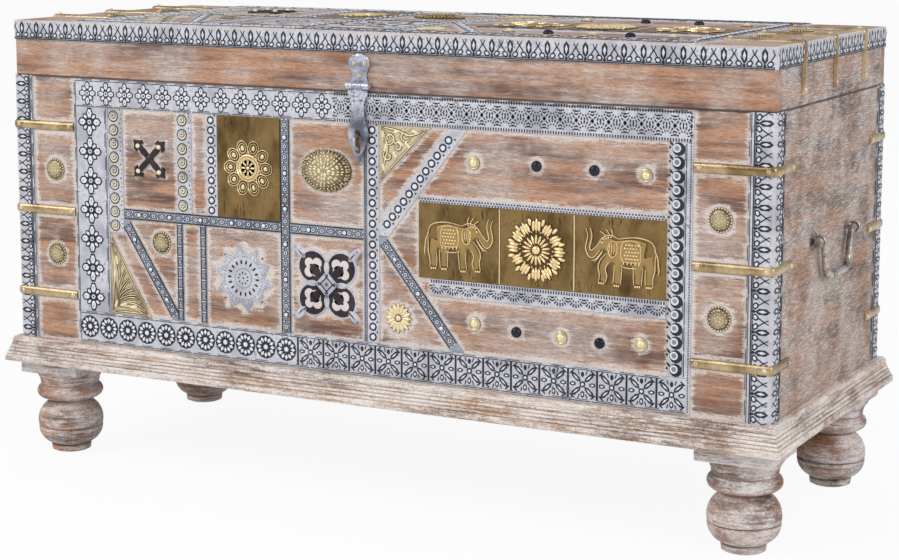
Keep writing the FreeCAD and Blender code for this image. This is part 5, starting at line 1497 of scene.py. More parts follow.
def line_inside(mesh: bpy.types.Mesh) -> None:
    """Leaves the faces that look into the chest as bare oiled wood."""
    mesh.materials.append(INNER_WOOD.material())
    for face in mesh.polygons:
        centre = face.center / MM
        inside = (abs(centre.x) < CHEST.half_w - 17 and abs(centre.y) < CHEST.half_d - 17
                  and CHEST.case_z < centre.z < CHEST.top_z - 15)
        face.material_index = int(inside)


@dataclass(frozen=True)
class WashedBoard:
    """A board whose whitewash lies thicker beside the metalwork that is set on it."""
    node: str
    name: str
    body: str
    finish: Wood
    board: Board
    trims: tuple[str, ...]
    cell: float = 5.0
    reach: float = 9.0

    def build(self) -> None:
        """Makes the board as a fine grid pushed back into a slab, and paints how near the metal is."""
        low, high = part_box(self.node)
        middle, size = (low + high) / 2, (high - low) / MM
        if self.board is Board.TOP:
            tall, thick = size.y, size.z
            place = Matrix.Translation((middle.x, middle.y, high.z))
        else:
            tall, thick = size.z, size.y
            place = Matrix.Translation((middle.x, low.y, middle.z)) @ Matrix.Rotation(math.pi / 2, 4, "X")
        piece = open_grid(self.name, size.x, tall, self.cell)
        extrude(0, 0, -thick)
        placed(close_mesh(piece, self.finish), place)
        line_inside(piece.data)
        self.rub(piece)
        ride_with(piece, self.body, self.finish, self.node)

    def rub(self, piece: Piece) -> None:
        """Writes 1 beside a metal piece, falling to 0 at the reach."""
        points: list[Vector] = []
        faces: list[tuple[int, ...]] = []
        for trim in self.trims:
            mesh = NODES[trim].data
            first = len(points)
            points += [vertex.co.copy() for vertex in mesh.vertices]
            faces += [tuple(first + index for index in face.vertices) for face in mesh.polygons]
        tree = BVHTree.FromPolygons(points, faces)
        gaps = [tree.find_nearest(vertex.co, self.reach * MM)[3] for vertex in piece.data.vertices]
        write_values(piece, "rub", [0.0 if gap is None else 1.0 - gap / (self.reach * MM) for gap in gaps])


# The plain solids that the ornaments of each field stand for
FRONT_SOLIDS = {
    "leaf_fan": "leaf_plates", "flower": "flower_plate", "elephant_left": "elephant_plate_left",
    "rosette_plate": "rosette_plate", "elephant_right": "elephant_plate_right", "star": "star_plate",
    "scroll": "scroll_plate", "oval": "oval_boss", "cross": "cross_ornament", "medallions": "medallions",
    "gilt_studs": "brass_studs", "iron_studs": "iron_studs",
}
LID_SOLIDS = {"flower": "lid_top_plates", "oval": "lid_top_bosses"}

FRONT_BANDS = ("front_band_bottom", "front_band_top", "front_band_left", "front_band_right")
FRONT_STRIPS = ("crescent_strips", "ring_strips", "lace_strips")
FRONT_TRIMS = (*FRONT_BANDS, *FRONT_STRIPS, "narrow_strips", *FRONT_SOLIDS.values(), "corner_strips",
    "corner_straps", "plinth_front")
TOP_TRIMS = ("lid_top_bands", "lid_top_strips", *LID_SOLIDS.values(), "lid_rim_strips", "lid_straps")

SHOWN_NODES: tuple[tuple[Finish, tuple[str, ...]], ...] = (
    (CASE_WOOD, ("back_panel", "lid_front_rail", "lid_back_rail")),
    (SIDE_WOOD, ("left_panel", "right_panel", "lid_left_rail", "lid_right_rail")),
    (INNER_WOOD, ("bottom_board",)),
    (WHITE_SHEET, (*FRONT_BANDS, *FRONT_STRIPS, "corner_strips", "lid_rim_strips", "lid_top_bands",
                   "lid_top_strips")),
    (BLUE_SHEET, ("narrow_strips",)),
    (BLACK_IRON, ("hinge_body_leaves", "hinge_lid_leaves", "hinge_pins")),
    (GREY_IRON, ("hasp_pin",)),
)


def dress_nodes() -> None:
    """Gives every carried-over node that stays in sight its finish."""
    for finish, names in SHOWN_NODES:
        for name in names:
            mesh = NODES[name].data
            mesh.materials.clear()
            mesh.materials.append(finish.material())
            if name.endswith(("_panel", "_rail")):
                line_inside(mesh)


@dataclass(frozen=True)
class CornerCladding:
    """Rows of leaves on the corner strips and round the lid's rim."""
    strip_w: float = 30.0
    rim_low: float = 583.0
    rim_h: float = 24.0

    def dress(self) -> None:
        """Lays the rows on every side, the leaves of the corners pointing to the corner."""
        height, centre = CHEST.case_h, self.strip_w / 2
        rim_y = self.rim_low - CHEST.case_z + self.rim_h / 2
        halves = {Board.FRONT: CHEST.half_w, Board.BACK: CHEST.half_w, Board.RIGHT: CHEST.half_d,
                  Board.LEFT: CHEST.half_d}
        for board, half in halves.items():
            side = board.value
            line_x = half - self.strip_w + 1.2
            SPADE.row(f"corner_leaves_{side}_low", board, (-half + centre - 1, 0), 90, height, "chest")
            SPADE.row(f"corner_leaves_{side}_high", board, (half - centre + 1, height), -90, height, "chest")
            EDGE_LINE.row(f"corner_line_{side}_low", board, (-line_x, 0), 90, height, "chest")
            EDGE_LINE.row(f"corner_line_{side}_high", board, (line_x, 0), 90, height, "chest")
        for board in (Board.FRONT, Board.RIGHT, Board.LEFT):
            half = halves[board]
            SPADE.row(f"rim_leaves_{board.value}", board, (-half + 2, rim_y), 0, 2 * half - 4, "lid")


# Forged and turned parts

def swept_strap(reach: float, drop: float, wide: float, thick: float) -> Piece:
    """A crowned strap bent over a corner.

    Args:
        reach: Length of the leg along -x, whose outer side is +z.
        drop: Length of the leg down -z, whose outer side is +x.
        wide: The strap's width along y.
        thick: Height of its crown over the wood.

    Returns:
        The strap, with the corner of the wood at the origin.
    """
    piece = open_mesh("strap")
    inset = 1.5
    start = (-reach * MM, 0, 0)
    bpy.ops.mesh.primitive_circle_add(vertices=20, radius=1, fill_type="NGON", rotation=(0, math.pi / 2, 0),
        location=start)
    resize(1, wide / 2 * MM, thick * MM, start)
    mesh = bmesh.from_edit_mesh(piece.data)
    for vertex in mesh.verts:
        vertex.select = vertex.co.z < 0
    mesh.select_flush_mode()
    bmesh.update_edit_mesh(piece.data)
    resize(1, 1, 0.1, start)
    bpy.ops.mesh.select_all(action="SELECT")
    for share, grow in ((0.02, 1.0), (0.5, 1.04), (0.96, 0.98)):
        extrude(share * (reach - inset) - (mesh_reach(piece) + reach), 0, 0)
        resize(1, grow, grow)
    extrude(-inset - mesh_reach(piece), 0, 0)
    for _ in range(4):
        bpy.ops.mesh.extrude_region_move()
        turn_selection(22.5, "Y", (-inset * MM, 0, -inset * MM))
    for _ in range(2):
        extrude(0, 0, (inset - drop) / 2)
    close_mesh(piece, STRAP_BRASS)
    soften(piece, 0.5)
    return smooth(piece, 50)


def mesh_reach(piece: Piece) -> float:
    """How far along x the selection of the mesh in edit mode lies, in millimetres."""
    mesh = bmesh.from_edit_mesh(piece.data)
    return max(vertex.co.x for vertex in mesh.verts) / MM


def mirrored_in_x(piece: Piece) -> Piece:
    """The mirror image of a piece about x = 0."""
    edit_all(placed(piece, Matrix.Diagonal((-1, 1, 1, 1))))
    bpy.ops.mesh.normals_make_consistent(inside=False)
    bpy.ops.object.mode_set(mode="OBJECT")
    return piece


@dataclass(frozen=True)
class Strapwork:
    """Brass straps round the corners and over the lid's ends, and all nails and screws."""
    wide: float = 12.5
    crown: float = 3.7
    reach: float = 98.5
    side_reach: float = 61.0
    shares: tuple[float, ...] = (0.177, 0.495, 0.814)
    lid_shares: tuple[float, ...] = (0.22, 0.5, 0.78)
    lid_drop: float = 62.0
    nail_r: float = 3.2
    inset: float = 6.5
    hinge_share: float = 0.27
    leaf_t: float = 2.0
    screw_places: tuple[Point, ...] = ((-23.0, 37.4), (0.0, 23.4), (23.0, 37.4))
    hasp_nails: tuple[Point, ...] = ((0.0, 20.2), (-7.75, 35.6), (7.75, 35.6))
    hasp_level: float = 2.6

    def straps(self) -> None:
        """Twelve straps on the case and six on the lid."""
        master = swept_strap(self.reach, self.side_reach, self.wide, self.crown)
        pieces = []
        for share in self.shares:
            for board in (Board.FRONT, Board.BACK):
                place = CHEST.spot(board, CHEST.half_w, share * CHEST.case_h, 0, 0)
                pieces += [placed(copied(master), place), mirrored_in_x(placed(copied(master), place))]
        ride_with(join(pieces, "case_straps"), "chest", STRAP_BRASS, "corner_straps")
        lid_master = swept_strap(self.reach, self.lid_drop, self.wide, self.crown)
        pieces = []
        for share in self.lid_shares:
            place = CHEST.spot(Board.TOP, CHEST.half_w, share * 2 * CHEST.half_d, 0, 0)
            pieces += [placed(copied(lid_master), place),
                       placed(copied(lid_master), Matrix.Rotation(math.pi, 4, "Z") @ place)]
        ride_with(join(pieces, "lid_end_straps"), "lid", STRAP_BRASS, "lid_straps")
        remove(master, lid_master)

    def nails(self) -> None:
        """Nail heads on the straps and the hasp, screw heads on the hinges."""
        height, depth = CHEST.case_h, 2 * CHEST.half_d
        head = Cell(self.nail_r, self.nail_r, sides=14, base=-0.7,
                    steps=((1.0, 0.9), (0.86, 0.6), (0.5, 0.7), (0.2, 0.2)))
        nail = smooth(pressed("nail", [head], NAIL_COPPER), 60)
        turned = replace(head, half_x=4.0, half_y=4.0, sides=16, base=-0.2, steps=((1.0, 0.5), (0.8, 0.6)))
        cut = bar_at(3.3, 0.5, 0.0, 0.0, 0.0, 1.0)
        screw = join([pressed("screw", [turned], BLACK_IRON), pressed("screw_slot", [cut], PATINA)], "screw")
        on_case, on_lid = [], []

        def hit(group: list[Piece], master: Piece, board: Board, x: float, y: float, out: float = self.crown,
                turn: float = 0.0) -> None:
            """Adds a copy of a head at a place on a board."""
            group.append(placed(copied(master), CHEST.spot(board, x, y, turn, out)))

        ends = (CHEST.half_w - self.inset, CHEST.half_w - self.reach + self.inset)
        for side in (-1, 1):
            for share in self.shares:
                for board in (Board.FRONT, Board.BACK):
                    for end in ends:
                        hit(on_case, nail, board, side * end, share * height)
                for board in (Board.RIGHT, Board.LEFT):
                    hit(on_case, nail, board, side * (CHEST.half_d - self.side_reach + self.inset),
                        share * height)
            for share in self.lid_shares:
                for end in ends:
                    hit(on_lid, nail, Board.TOP, side * end, share * depth)
            for x, y in self.screw_places:
                place = side * self.hinge_share * 2 * CHEST.half_w + x
                hit(on_case, screw, Board.BACK, place, height - y, self.leaf_t, 31 * x + 17 * side)
                hit(on_lid, screw, Board.BACK, place, height + y, self.leaf_t, 47 * x + 29 * side)
        low = CHEST.top_z - CHEST.case_z - self.lid_drop + self.inset
        for board in (Board.RIGHT, Board.LEFT):
            for share in self.lid_shares:
                hit(on_lid, nail, board, share * depth - CHEST.half_d, low)
        for x, y in self.hasp_nails:
            hit(on_lid, nail, Board.FRONT, x, height + y, self.hasp_level)
        ride_with(join(on_case, "case_nail_heads"), "chest", NAIL_COPPER, "case_nails")
        ride_with(join(on_lid, "lid_nail_heads"), "lid", NAIL_COPPER, "lid_nails")
        remove(nail, screw)

    def build(self) -> None:
        """Makes straps and nails."""
        self.straps()
        self.nails()


def arc_points(start: Point, middle: Point, end: Point, count: int) -> list[Point]:
    """Points after the start on the circle through three points."""
    (ax, ay), (bx, by), (cx, cy) = start, middle, end
    twice = 2 * (ax * (by - cy) + bx * (cy - ay) + cx * (ay - by))
    a_far, b_far, c_far = ax * ax + ay * ay, bx * bx + by * by, cx * cx + cy * cy
    ux = (a_far * (by - cy) + b_far * (cy - ay) + c_far * (ay - by)) / twice
    uy = (a_far * (cx - bx) + b_far * (ax - cx) + c_far * (bx - ax)) / twice
    radius = math.hypot(ax - ux, ay - uy)
    first = math.atan2(ay - uy, ax - ux)
    sweep = (math.atan2(cy - uy, cx - ux) - first) % math.tau
    if (math.atan2(by - uy, bx - ux) - first) % math.tau > sweep:
        sweep -= math.tau
    angles = [first + sweep * step / count for step in range(1, count + 1)]
    return [(ux + radius * math.cos(angle), uy + radius * math.sin(angle)) for angle in angles]


def shade_profile(piece: Piece, low_places: Callable[[Vector], bool]) -> None:
    """Writes a lift of 0 in the grooves of a moulded or turned piece and 1 elsewhere."""
    write_values(piece, "lift", [0.0 if low_places(vertex.co / MM) else 1.0
        for vertex in piece.data.vertices])


@dataclass(frozen=True)
class Plinth:
    """The mitred moulding under the case: an ovolo, four reeds and a fascia."""
    high: float = 35.0
    out: float = 18.5
    inward: float = 45.0
    reeds: int = 4
    swell: float = 1.2

    def profile(self) -> list[Point]:
        """Points outwards and down, in millimetres, from the inner top edge to the inner lower edge."""
        def at(x: float, y: float) -> Point:
            return x * self.out, y * self.high
        line = [(-self.inward, 0.0), at(0.22, 0.0)]
        line += arc_points(line[-1], at(0.47, 0.04), at(0.58, 0.18), 6)
        line += [at(0.58, 0.23), at(0.5, 0.23)]
        start, end = Vector(at(0.5, 0.23)), Vector(at(0.88, 0.74))
        normal = Vector((end.y - start.y, start.x - end.x)).normalized()
        for reed in range(self.reeds):
            a = start + (end - start) * reed / self.reeds
            b = start + (end - start) * (reed + 1) / self.reeds
            line += arc_points(tuple(a), tuple((a + b) / 2 + normal * self.swell), tuple(b), 6)
        line += [at(0.95, 0.74), at(1.0, 0.79), at(1.0, 1.0), (-self.inward, self.high)]
        return line

    def build(self) -> None:
        """Pulls a loop of edges along the profile, then closes the ring."""
        piece = open_mesh("plinth_moulding")
        line = self.profile()
        half = (CHEST.half_w + line[0][0], CHEST.half_d + line[0][0])
        bpy.ops.mesh.primitive_plane_add(size=2, location=(0, 0, CHEST.case_z * MM))
        resize(half[0] * MM, half[1] * MM, 1)
        bpy.ops.mesh.delete(type="ONLY_FACE")
        bpy.ops.mesh.select_all(action="SELECT")
        for (_, y0), (x1, y1) in zip(line, [*line[1:], line[0]]):
            grown = (CHEST.half_w + x1, CHEST.half_d + x1)
            extrude(0, 0, y0 - y1)
            resize(grown[0] / half[0], grown[1] / half[1], 1)
            half = grown
        bpy.ops.mesh.select_all(action="SELECT")
        bpy.ops.mesh.remove_doubles(threshold=0.01 * MM)
        close_mesh(piece, PLINTH_WOOD)
        piece.data.materials.append(PLINTH_SIDE_WOOD.material())
        for face in piece.data.polygons:
            centre = face.center / MM
            face.material_index = int(abs(centre.x) - CHEST.half_w > abs(centre.y) - CHEST.half_d)
        soften(piece, 0.7, 2, 50)
        shade_profile(smooth(piece, 32), self.in_groove)
        ride_with(piece, "chest", PLINTH_WOOD, "plinth_front", "plinth_back", "plinth_left", "plinth_right")

    def in_groove(self, place: Vector) -> bool:
        """Whether a point lies between two reeds, under the ovolo or inside the ring."""
        out = max(abs(place.x) - CHEST.half_w, abs(place.y) - CHEST.half_d)
        down = CHEST.case_z - place.z
        if out < 0.15 * self.out:
            return down > 1.0
        start, end = Vector((0.5 * self.out, 0.23 * self.high)), Vector((0.88 * self.out, 0.74 * self.high))
        return any((Vector((out, down)) - start.lerp(end, reed / self.reeds)).length < 0.8
                   for reed in range(self.reeds + 1))


@dataclass(frozen=True)
class Feet:
    """Four turned feet under square blocks."""
    radius: float = 48.0
    high: float = 115.0
    inset: float = 45.0
    block_w: float = 96.0
    block_h: float = 18.0

    def profile(self) -> list[tuple[float, float, float]]:
        """Radius and height in millimetres up the foot, and the lift of each point."""
        def curve(start: Point, middle: Point, end: Point, count: int) -> list[tuple[float, float, float]]:
            scaled = [(x * self.radius, y * self.high) for x, y in (start, middle, end)]
            return [(x / self.radius, y / self.high, 1.0) for x, y in arc_points(*scaled, count)]
        line = [(0.5, 0.0, 0.3), (0.56, 0.012, 0.6), (0.58, 0.07, 1.0), (0.52, 0.09, 0.0)]
        line += curve((0.52, 0.09), (0.84, 0.18), (0.935, 0.3), 9)
        line += [(0.89, 0.315, 0.0), (0.935, 0.33, 1.0)]
        line += curve((0.935, 0.33), (0.87, 0.51), (0.65, 0.61), 9)
        line += [(0.62, 0.625, 0.2), (0.62, 0.64, 0.0), (0.68, 0.675, 0.4)]
        line += curve((0.68, 0.675), (0.96, 0.75), (0.85, 0.82), 7)
        line += [(0.84, 0.83, 0.0)]
        line += curve((0.85, 0.82), (0.87, 0.9), (0.97, 0.975), 5)
        line += [(0.99, 0.985, 1.0), (1.0, 1.0, 0.8)]
        return [(x * self.radius, y * self.high, lift) for x, y, lift in line]

    def foot(self) -> Piece:
        """One foot, turned ring by ring about the z axis."""
        piece = open_mesh("foot")
        line = self.profile()
        radius, height, _ = line[0]
        bpy.ops.mesh.primitive_circle_add(vertices=64, radius=radius * MM, fill_type="NGON")
        for grown, level, _ in line[1:]:
            extrude(0, 0, level - height)
            resize(grown / radius, grown / radius, 1, (0, 0, level * MM))
            radius, height = grown, level
        smooth(close_mesh(piece, FOOT_WOOD), 35)
        grooves = [(x, y) for x, y, lift in line if lift < 0.35]
        shade_profile(piece, lambda place: any(abs(place.z - y) < 0.3 and abs(place.xy.length - x) < 0.5
            for x, y in grooves))
        return piece

    def build(self) -> None:
        """Copies the foot to the corners, each turned another way, and sets a block on each."""
        master = self.foot()
        blocks = []
        for row, y in (("front", -1), ("back", 1)):
            for side, x in (("left", -1), ("right", 1)):
                at_x, at_y = x * (CHEST.half_w - self.inset) * MM, y * (CHEST.half_d - self.inset) * MM
                foot = named(copied(master), f"turned_foot_{row}_{side}")
                turn = Matrix.Rotation(1.3 * x + 0.7 * y, 4, "Z")
                placed(foot, Matrix.Translation((at_x, at_y, 0)) @ turn)
                ride_with(foot, "chest", FOOT_WOOD, f"foot_{row}_{side}")
                at = (at_x, at_y, (self.high + self.block_h / 2) * MM)
                sizes = (self.block_w, self.block_w, self.block_h)
                blocks.append(block("block", at, sizes, 1.6, 3, BLOCK_WOOD))
        ride_with(smooth(join(blocks, "square_blocks")), "chest", FOOT_WOOD, "foot_blocks")
        remove(master)


def block(name: str, at: Sequence[float], sizes: Sequence[float], edge: float, segments: int,
          finish: Finish) -> Piece:
    """A box of sizes in millimetres about a point in metres, with bevelled edges."""
    piece = open_mesh(name)
    bpy.ops.mesh.primitive_cube_add(size=1, location=at)
    resize(*(size * MM for size in sizes), at)
    bpy.ops.mesh.bevel(offset=edge * MM, segments=segments, affect="EDGES")
    return close_mesh(piece, finish)


def rounded(points: Sequence[Point], radii: Sequence[float], count: int = 6) -> list[Point]:
    """A line of straight runs whose inner corners are arcs."""
    line = [points[0]]
    for before, corner, after, radius in zip(points, points[1:], points[2:], radii):
        at = Vector(corner)
        back, ahead = (Vector(before) - at).normalized(), (Vector(after) - at).normalized()
        half = back.angle(ahead) / 2
        run = radius / math.tan(half)
        centre = at + (back + ahead).normalized() * radius / math.sin(half)
        start, end = at + back * run, at + ahead * run
        middle = centre + (at - centre).normalized() * radius
        line += [tuple(start), *arc_points(tuple(start), tuple(middle), tuple(end), count)]
    return [*line, points[-1]]


@dataclass(frozen=True)
class Bails:
    """A forged rod on each side that swings in two eyes."""
    rod: float = 4.5
    eye_share: float = 0.54
    stand: float = 10.0
    drop: float = 48.0
    corner_half: float = 54.0
    foot_half: float = 43.0
    span: float = 68.0
    end: float = 79.0

    def bail(self) -> Piece:
        """The rod in the plane of its side, x along it and y up."""
        corners = [(self.end - 4, 0), (self.corner_half, 0), (self.foot_half, -self.drop)]
        outline = [(-x, y) for x, y in corners] + corners[::-1]
        draw = random.Random(4)
        wire = []
        for x, y in rounded(outline, (9, 20, 20, 9), 7):
            radius = self.rod if y > -4 else self.rod + 0.35 + draw.uniform(-0.25, 0.25)
            wire.append((x, y, 0.0, radius))
        for x, radius in ((4.0, 4.5), (3.8, 6.0), (3.2, 6.5), (0.8, 6.5), (0.0, 5.6), (-0.1, 1.5)):
            wire.insert(0, (-self.end + x, 0.0, 0.0, radius))
            wire.append((self.end - x, 0.0, 0.0, radius))
        return smooth(Wire(tuple(wire), order=2, sides=12, steps=1).bend("bail", OLD_IRON), 50)

    def eye(self) -> Piece:
        """A ring on a neck that grows out of a round plate, z out of the board."""
        base = Cell(12.0, 12.0, sides=24, base=-0.2,
                    steps=((1.0, 1.4), (0.9, 0.8), (0.72, 0.3), (0.6, 1.4), (0.42, 1.2), (0.36, 1.6)))
        plate = pressed("eye_plate", [base], OLD_IRON)
        ring = open_mesh("eye_ring")
        at = (0, 0, self.stand * MM)
        bpy.ops.mesh.primitive_torus_add(major_segments=28, minor_segments=12, major_radius=6.6 * MM,
            minor_radius=1.7 * MM, rotation=(0, math.pi / 2, 0), location=at)
        resize(2.1, 1, 1, at)
        return smooth(join([plate, close_mesh(ring, OLD_IRON)], "eye"), 50)

    def build(self) -> None:
        """Bails and eyes on both sides."""
        level = self.eye_share * CHEST.case_h
        rod, ring = self.bail(), self.eye()
        for board in (Board.LEFT, Board.RIGHT):
            side = board.value
            bail = named(copied(rod), f"forged_bail_{side}")
            placed(bail, CHEST.spot(board, 0, level, 0, self.stand))
            ride_with(bail, f"bail_{side}", GREY_IRON, f"bail_{side}")
            eyes = [placed(copied(ring), CHEST.spot(board, x, level, 0, 0)) for x in (-self.span, self.span)]
            ride_with(join(eyes, f"forged_eyes_{side}"), "chest", GREY_IRON, f"bail_eyes_{side}")
        remove(rod, ring)


@dataclass(frozen=True)
class Hasp:
    """Plate with two ears on the lid, knuckles round a pin, a hammered leaf and the staple under it."""
    axis_rise: float = 8.0
    axis_out: float = 5.2
    plate_h: float = 40.5
    plate_half: float = 15.5
    plate_t: float = 2.0
    leaf_l: float = 98.0
    leaf_half: float = 15.0
    leaf_t: float = 2.4
    knuckle_r: float = 4.7
    barrel_l: float = 33.0
    staple_drop: float = 71.0
    staple_r: float = 9.0
    staple_in: float = 21.0
    staple_out: float = 7.0

    def sheet(self, name: str, half_outline: Sequence[Point], thick: float) -> Piece:
        """A plate whose outline is mirrored about x = 0, from the points of its right half."""
        left = [(-x, y) for x, y in reversed(half_outline) if x > 0.01]
        return plate_of(name, [*half_outline, *left], thick, GREY_IRON)

    def barrel(self, start: float, end: float) -> Piece:
        """A knuckle along x with rolled ridges, centred on the pin."""
        piece = open_mesh("knuckle")
        radius, place = 0.86, start
        bpy.ops.mesh.primitive_circle_add(vertices=24, radius=self.knuckle_r * radius * MM,
            fill_type="NGON", rotation=(0, math.pi / 2, 0), location=(start * MM, 0, 0))
        rings = max(1, round((end - start) / 4.5))
        for ring in range(rings):
            for share, size in ((0.12, 1.0), (0.5, 1.04), (0.88, 1.0), (1.0, 0.88)):
                goal = start + (ring + share) * (end - start) / rings
                extrude(goal - place, 0, 0)
                resize(1, size / radius, size / radius)
                radius, place = size, goal
        return close_mesh(piece, GREY_IRON)

    def plate(self) -> Piece:
        """The plate, z out of the lid and y up from the pin, with its outer knuckles."""
        shares = ((0.0, 0.02), (0.97, 0.02), (0.8, 0.13), (0.68, 0.28), (0.72, 0.4), (0.85, 0.52),
            (0.97, 0.62), (1.0, 0.74), (0.93, 0.85), (0.76, 0.91), (0.55, 0.9), (0.42, 0.94), (0.28, 0.99),
            (0.0, 1.0))
        piece = self.sheet("hasp_plate_sheet", [(x * self.plate_half, y * self.plate_h) for x, y in shares],
            self.plate_t)
        soften(piece, 0.5)
        wells = [Cell(2.9, 2.9, x, 35.6, 0, 12, 1.7, ((1.0, 0.5), (0.8, 0.25), (0.6, -0.2)))
            for x in (-7.75, 7.75)]
        lift = Matrix.Translation((0, 0, -self.axis_out * MM))
        parts = [placed(piece, lift), placed(pressed("hasp_ears", wells, GREY_IRON), lift)]
        inner, half = 0.2 * self.barrel_l + 0.2, self.barrel_l / 2
        for start, end in ((-half, -inner), (inner, half)):
            root = (end - start, 3.2, 5.0)
            parts += [self.barrel(start, end), block("knuckle_root", ((start + end) / 2 * MM, 3.0 * MM,
                -2.6 * MM), root, 0.4, 2, GREY_IRON)]
        return smooth(join(parts, "hasp_lid_plate"), 38)

    def leaf(self) -> Piece:
        """The hanging leaf: waisted, wide round its slot, pointed, beaten thin at the edges."""
        shares = ((0.0, -0.02), (0.38, -0.02), (0.4, -0.055), (0.95, -0.06), (0.98, -0.1), (0.72, -0.17),
                  (0.57, -0.28), (0.62, -0.38), (0.8, -0.48), (0.95, -0.56), (0.98, -0.63), (0.88, -0.72),
                  (0.62, -0.81), (0.36, -0.9), (0.16, -0.97), (0.0, -1.0))
        piece = self.sheet("hasp_leaf_sheet", [(x * self.leaf_half, y * self.leaf_l) for x, y in shares],
            self.leaf_t)
        hole = open_mesh("slot")
        bpy.ops.mesh.primitive_circle_add(vertices=24, radius=3.5 * MM, fill_type="NGON", location=(0,
            -self.staple_drop * MM, -2 * MM))
        mesh = bmesh.from_edit_mesh(hole.data)
        for vertex in mesh.verts:
            vertex.co.y += math.copysign(11.5 * MM, vertex.co.y + self.staple_drop * MM)
        bmesh.update_edit_mesh(hole.data)
        bpy.ops.mesh.select_all(action="SELECT")
        extrude(0, 0, 8)
        close_mesh(hole, GREY_IRON)
        apply_modifier(piece, "BOOLEAN", object=hole, operation="DIFFERENCE", solver="EXACT")
        remove(hole)
        soften(piece, 0.6, 3, 50)
        side_rib = ((9, -12), (5.5, -27), (9.5, -50), (11, -62))
        lines = [tuple((-x, y) for x, y in side_rib), side_rib, ((0, -12), (0.6, -30), (0, -50))]
        ribs = ridges("hasp_ribs", lines, 2.6, 0.9, GREY_IRON, self.leaf_t - 0.2, 0.3)
        lift = Matrix.Translation((0, 0, -self.leaf_t / 2 * MM))
        inner = 0.2 * self.barrel_l - 0.2
        parts = [placed(piece, lift), placed(ribs, lift), self.barrel(-inner, inner)]
        return smooth(join(parts, "hasp_hanging_leaf"), 38)

    def staple(self) -> Piece:
        """A bent wire through the front board, z out of it."""
        out, radius = self.staple_out, self.staple_r
        line = [(-self.staple_in, -radius), (out, -radius),
                *arc_points((out, -radius), (out + radius, 0), (out, radius), 12), (-self.staple_in, radius)]
        wire = tuple((0.0, y, z, 2.0) for z, y in line)
        return smooth(Wire(wire, order=2, sides=12, steps=1).bend("staple_loop", GREY_IRON), 50)

    def build(self) -> None:
        """Places plate, leaf and staple."""
        level = CHEST.case_h + self.axis_rise
        for piece, body, node, y, out in (
                (self.plate(), "lid", "hasp_plate", level, self.axis_out),
                (self.leaf(), "hasp", "hasp_leaf", level, self.axis_out),
                (self.staple(), "chest", "staple", level - self.staple_drop, 0.0)):
            ride_with(placed(piece, CHEST.spot(Board.FRONT, 0, y, 0, out)), body, GREY_IRON, node)


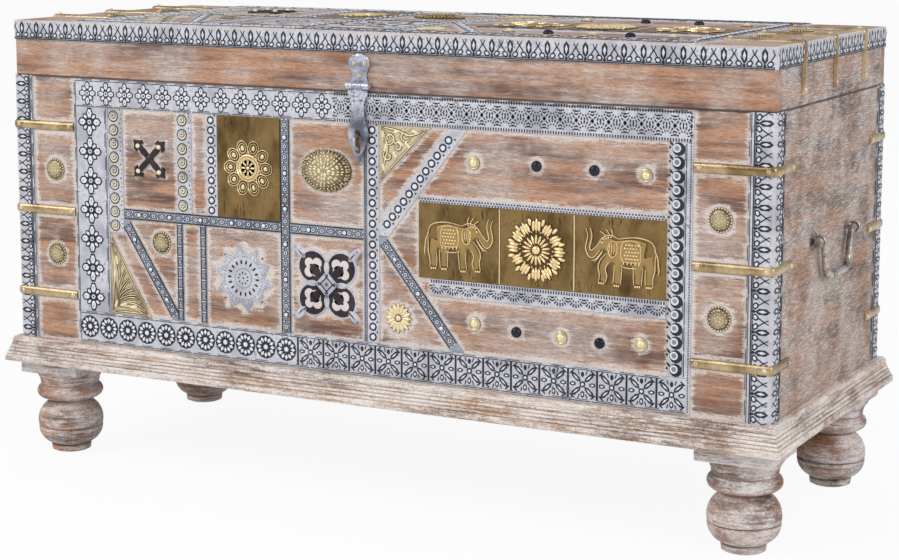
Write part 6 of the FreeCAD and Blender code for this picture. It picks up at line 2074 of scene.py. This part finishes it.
@dataclass(frozen=True)
class Studio:
    """Pale floor, soft light and the camera at the photograph's angle."""
    azimuth: float = 27.975
    elevation: float = 8.313
    distance: float = 2.8919
    target: tuple[float, float, float] = (0.0157, 0.0, 0.3702)
    lens: float = 85.52
    shift_y: float = -0.089
    floor_size: float = 60.0

    def white(self) -> bpy.types.Material:
        """Pale floor that shows white and keeps the object's shadow."""
        graph = Graph(bpy.data.materials.new("studio_floor"))
        tint = graph.mix(graph.noise(graph.coords(), 0.8), (240, 240, 240), (246, 246, 246))
        rays = graph.add("LightPath").outputs
        seen = graph.math("MAXIMUM", rays["Is Camera Ray"], rays["Is Glossy Ray"])
        seen = graph.math("MAXIMUM", seen, rays["Is Transmission Ray"])
        glow = graph.add("Emission", {"Strength": 1.0}).outputs["Emission"]
        inputs = {"Fac": graph.math("MULTIPLY", seen, 0.92), 1: graph.surface(tint, 0.9), 2: glow}
        return graph.finish(graph.add("MixShader", inputs).outputs["Shader"])

    def light(self, name: str, place: Sequence[float], size: float, watts: float) -> None:
        """A square soft box that looks at the chest's middle."""
        clear_selection()
        bpy.ops.object.light_add(type="AREA", location=place)
        lamp = bpy.context.object
        lamp.name = name
        lamp.data.size = size
        lamp.data.energy = watts
        lamp.rotation_euler = (Vector((0, 0, 0.35)) - Vector(place)).to_track_quat("-Z", "Y").to_euler()

    def world(self) -> None:
        """Even pale surroundings, white where the camera sees them."""
        world = bpy.data.worlds.new("studio")
        bpy.context.scene.world = world
        graph = Graph(world)
        soft = graph.add("Background", {"Color": paint(250, 250, 255), "Strength": 0.55}).outputs[0]
        white = graph.add("Background", {"Color": (1.0, 1.0, 1.0, 1.0), "Strength": 1.0}).outputs[0]
        seen = graph.add("LightPath").outputs["Is Camera Ray"]
        blend = graph.add("MixShader", {"Fac": seen, 1: soft, 2: white}).outputs[0]
        graph.add("OutputWorld", {"Surface": blend})

    def camera(self) -> None:
        """The camera, from its bearing, height and distance."""
        clear_selection()
        bpy.ops.object.camera_add()
        camera = bpy.context.object
        turn, rise = math.radians(self.azimuth), math.radians(self.elevation)
        back = Vector((math.sin(turn) * math.cos(rise), -math.cos(turn) * math.cos(rise), math.sin(rise)))
        camera.location = Vector(self.target) + back * self.distance
        camera.rotation_euler = (-back).to_track_quat("-Z", "Y").to_euler()
        camera.data.lens = self.lens
        camera.data.sensor_width = 36.0
        camera.data.shift_y = self.shift_y
        camera.data.clip_end = 200.0
        bpy.context.scene.camera = camera

    def build(self) -> None:
        """Sets the whole studio."""
        clear_selection()
        bpy.ops.mesh.primitive_plane_add(size=self.floor_size)
        floor = bpy.context.object
        floor.name = "studio_floor"
        floor.data.materials.append(self.white())
        self.world()
        self.light("key_box", (-2.6, -3.4, 3.4), 2.6, 116.0)
        self.light("side_box", (3.6, -1.6, 2.4), 2.2, 66.0)
        self.light("top_box", (0.4, 1.2, 4.0), 2.4, 8.0)
        self.camera()
        bpy.context.scene.view_settings.view_transform = "Standard"


def main() -> None:
    """Builds the chest piece by piece."""
    Studio().build()
    dress_nodes()
    WashedBoard("front_panel", "front_board", "chest", CASE_WOOD, Board.FRONT, FRONT_TRIMS).build()
    WashedBoard("lid_board", "lid_top_board", "lid", CASE_WOOD, Board.TOP, TOP_TRIMS).build()
    CornerCladding().dress()
    InlaidField(Board.FRONT, "chest", "front", CHEST.case_h, FRONT_SOLIDS).dress()
    InlaidField(Board.TOP, "lid", "lid", 2 * CHEST.half_d, LID_SOLIDS).dress()
    Strapwork().build()
    Plinth().build()
    Feet().build()
    Bails().build()
    Hasp().build()
    remove(*STOCK.values())


if __name__ == "__main__":
    main()
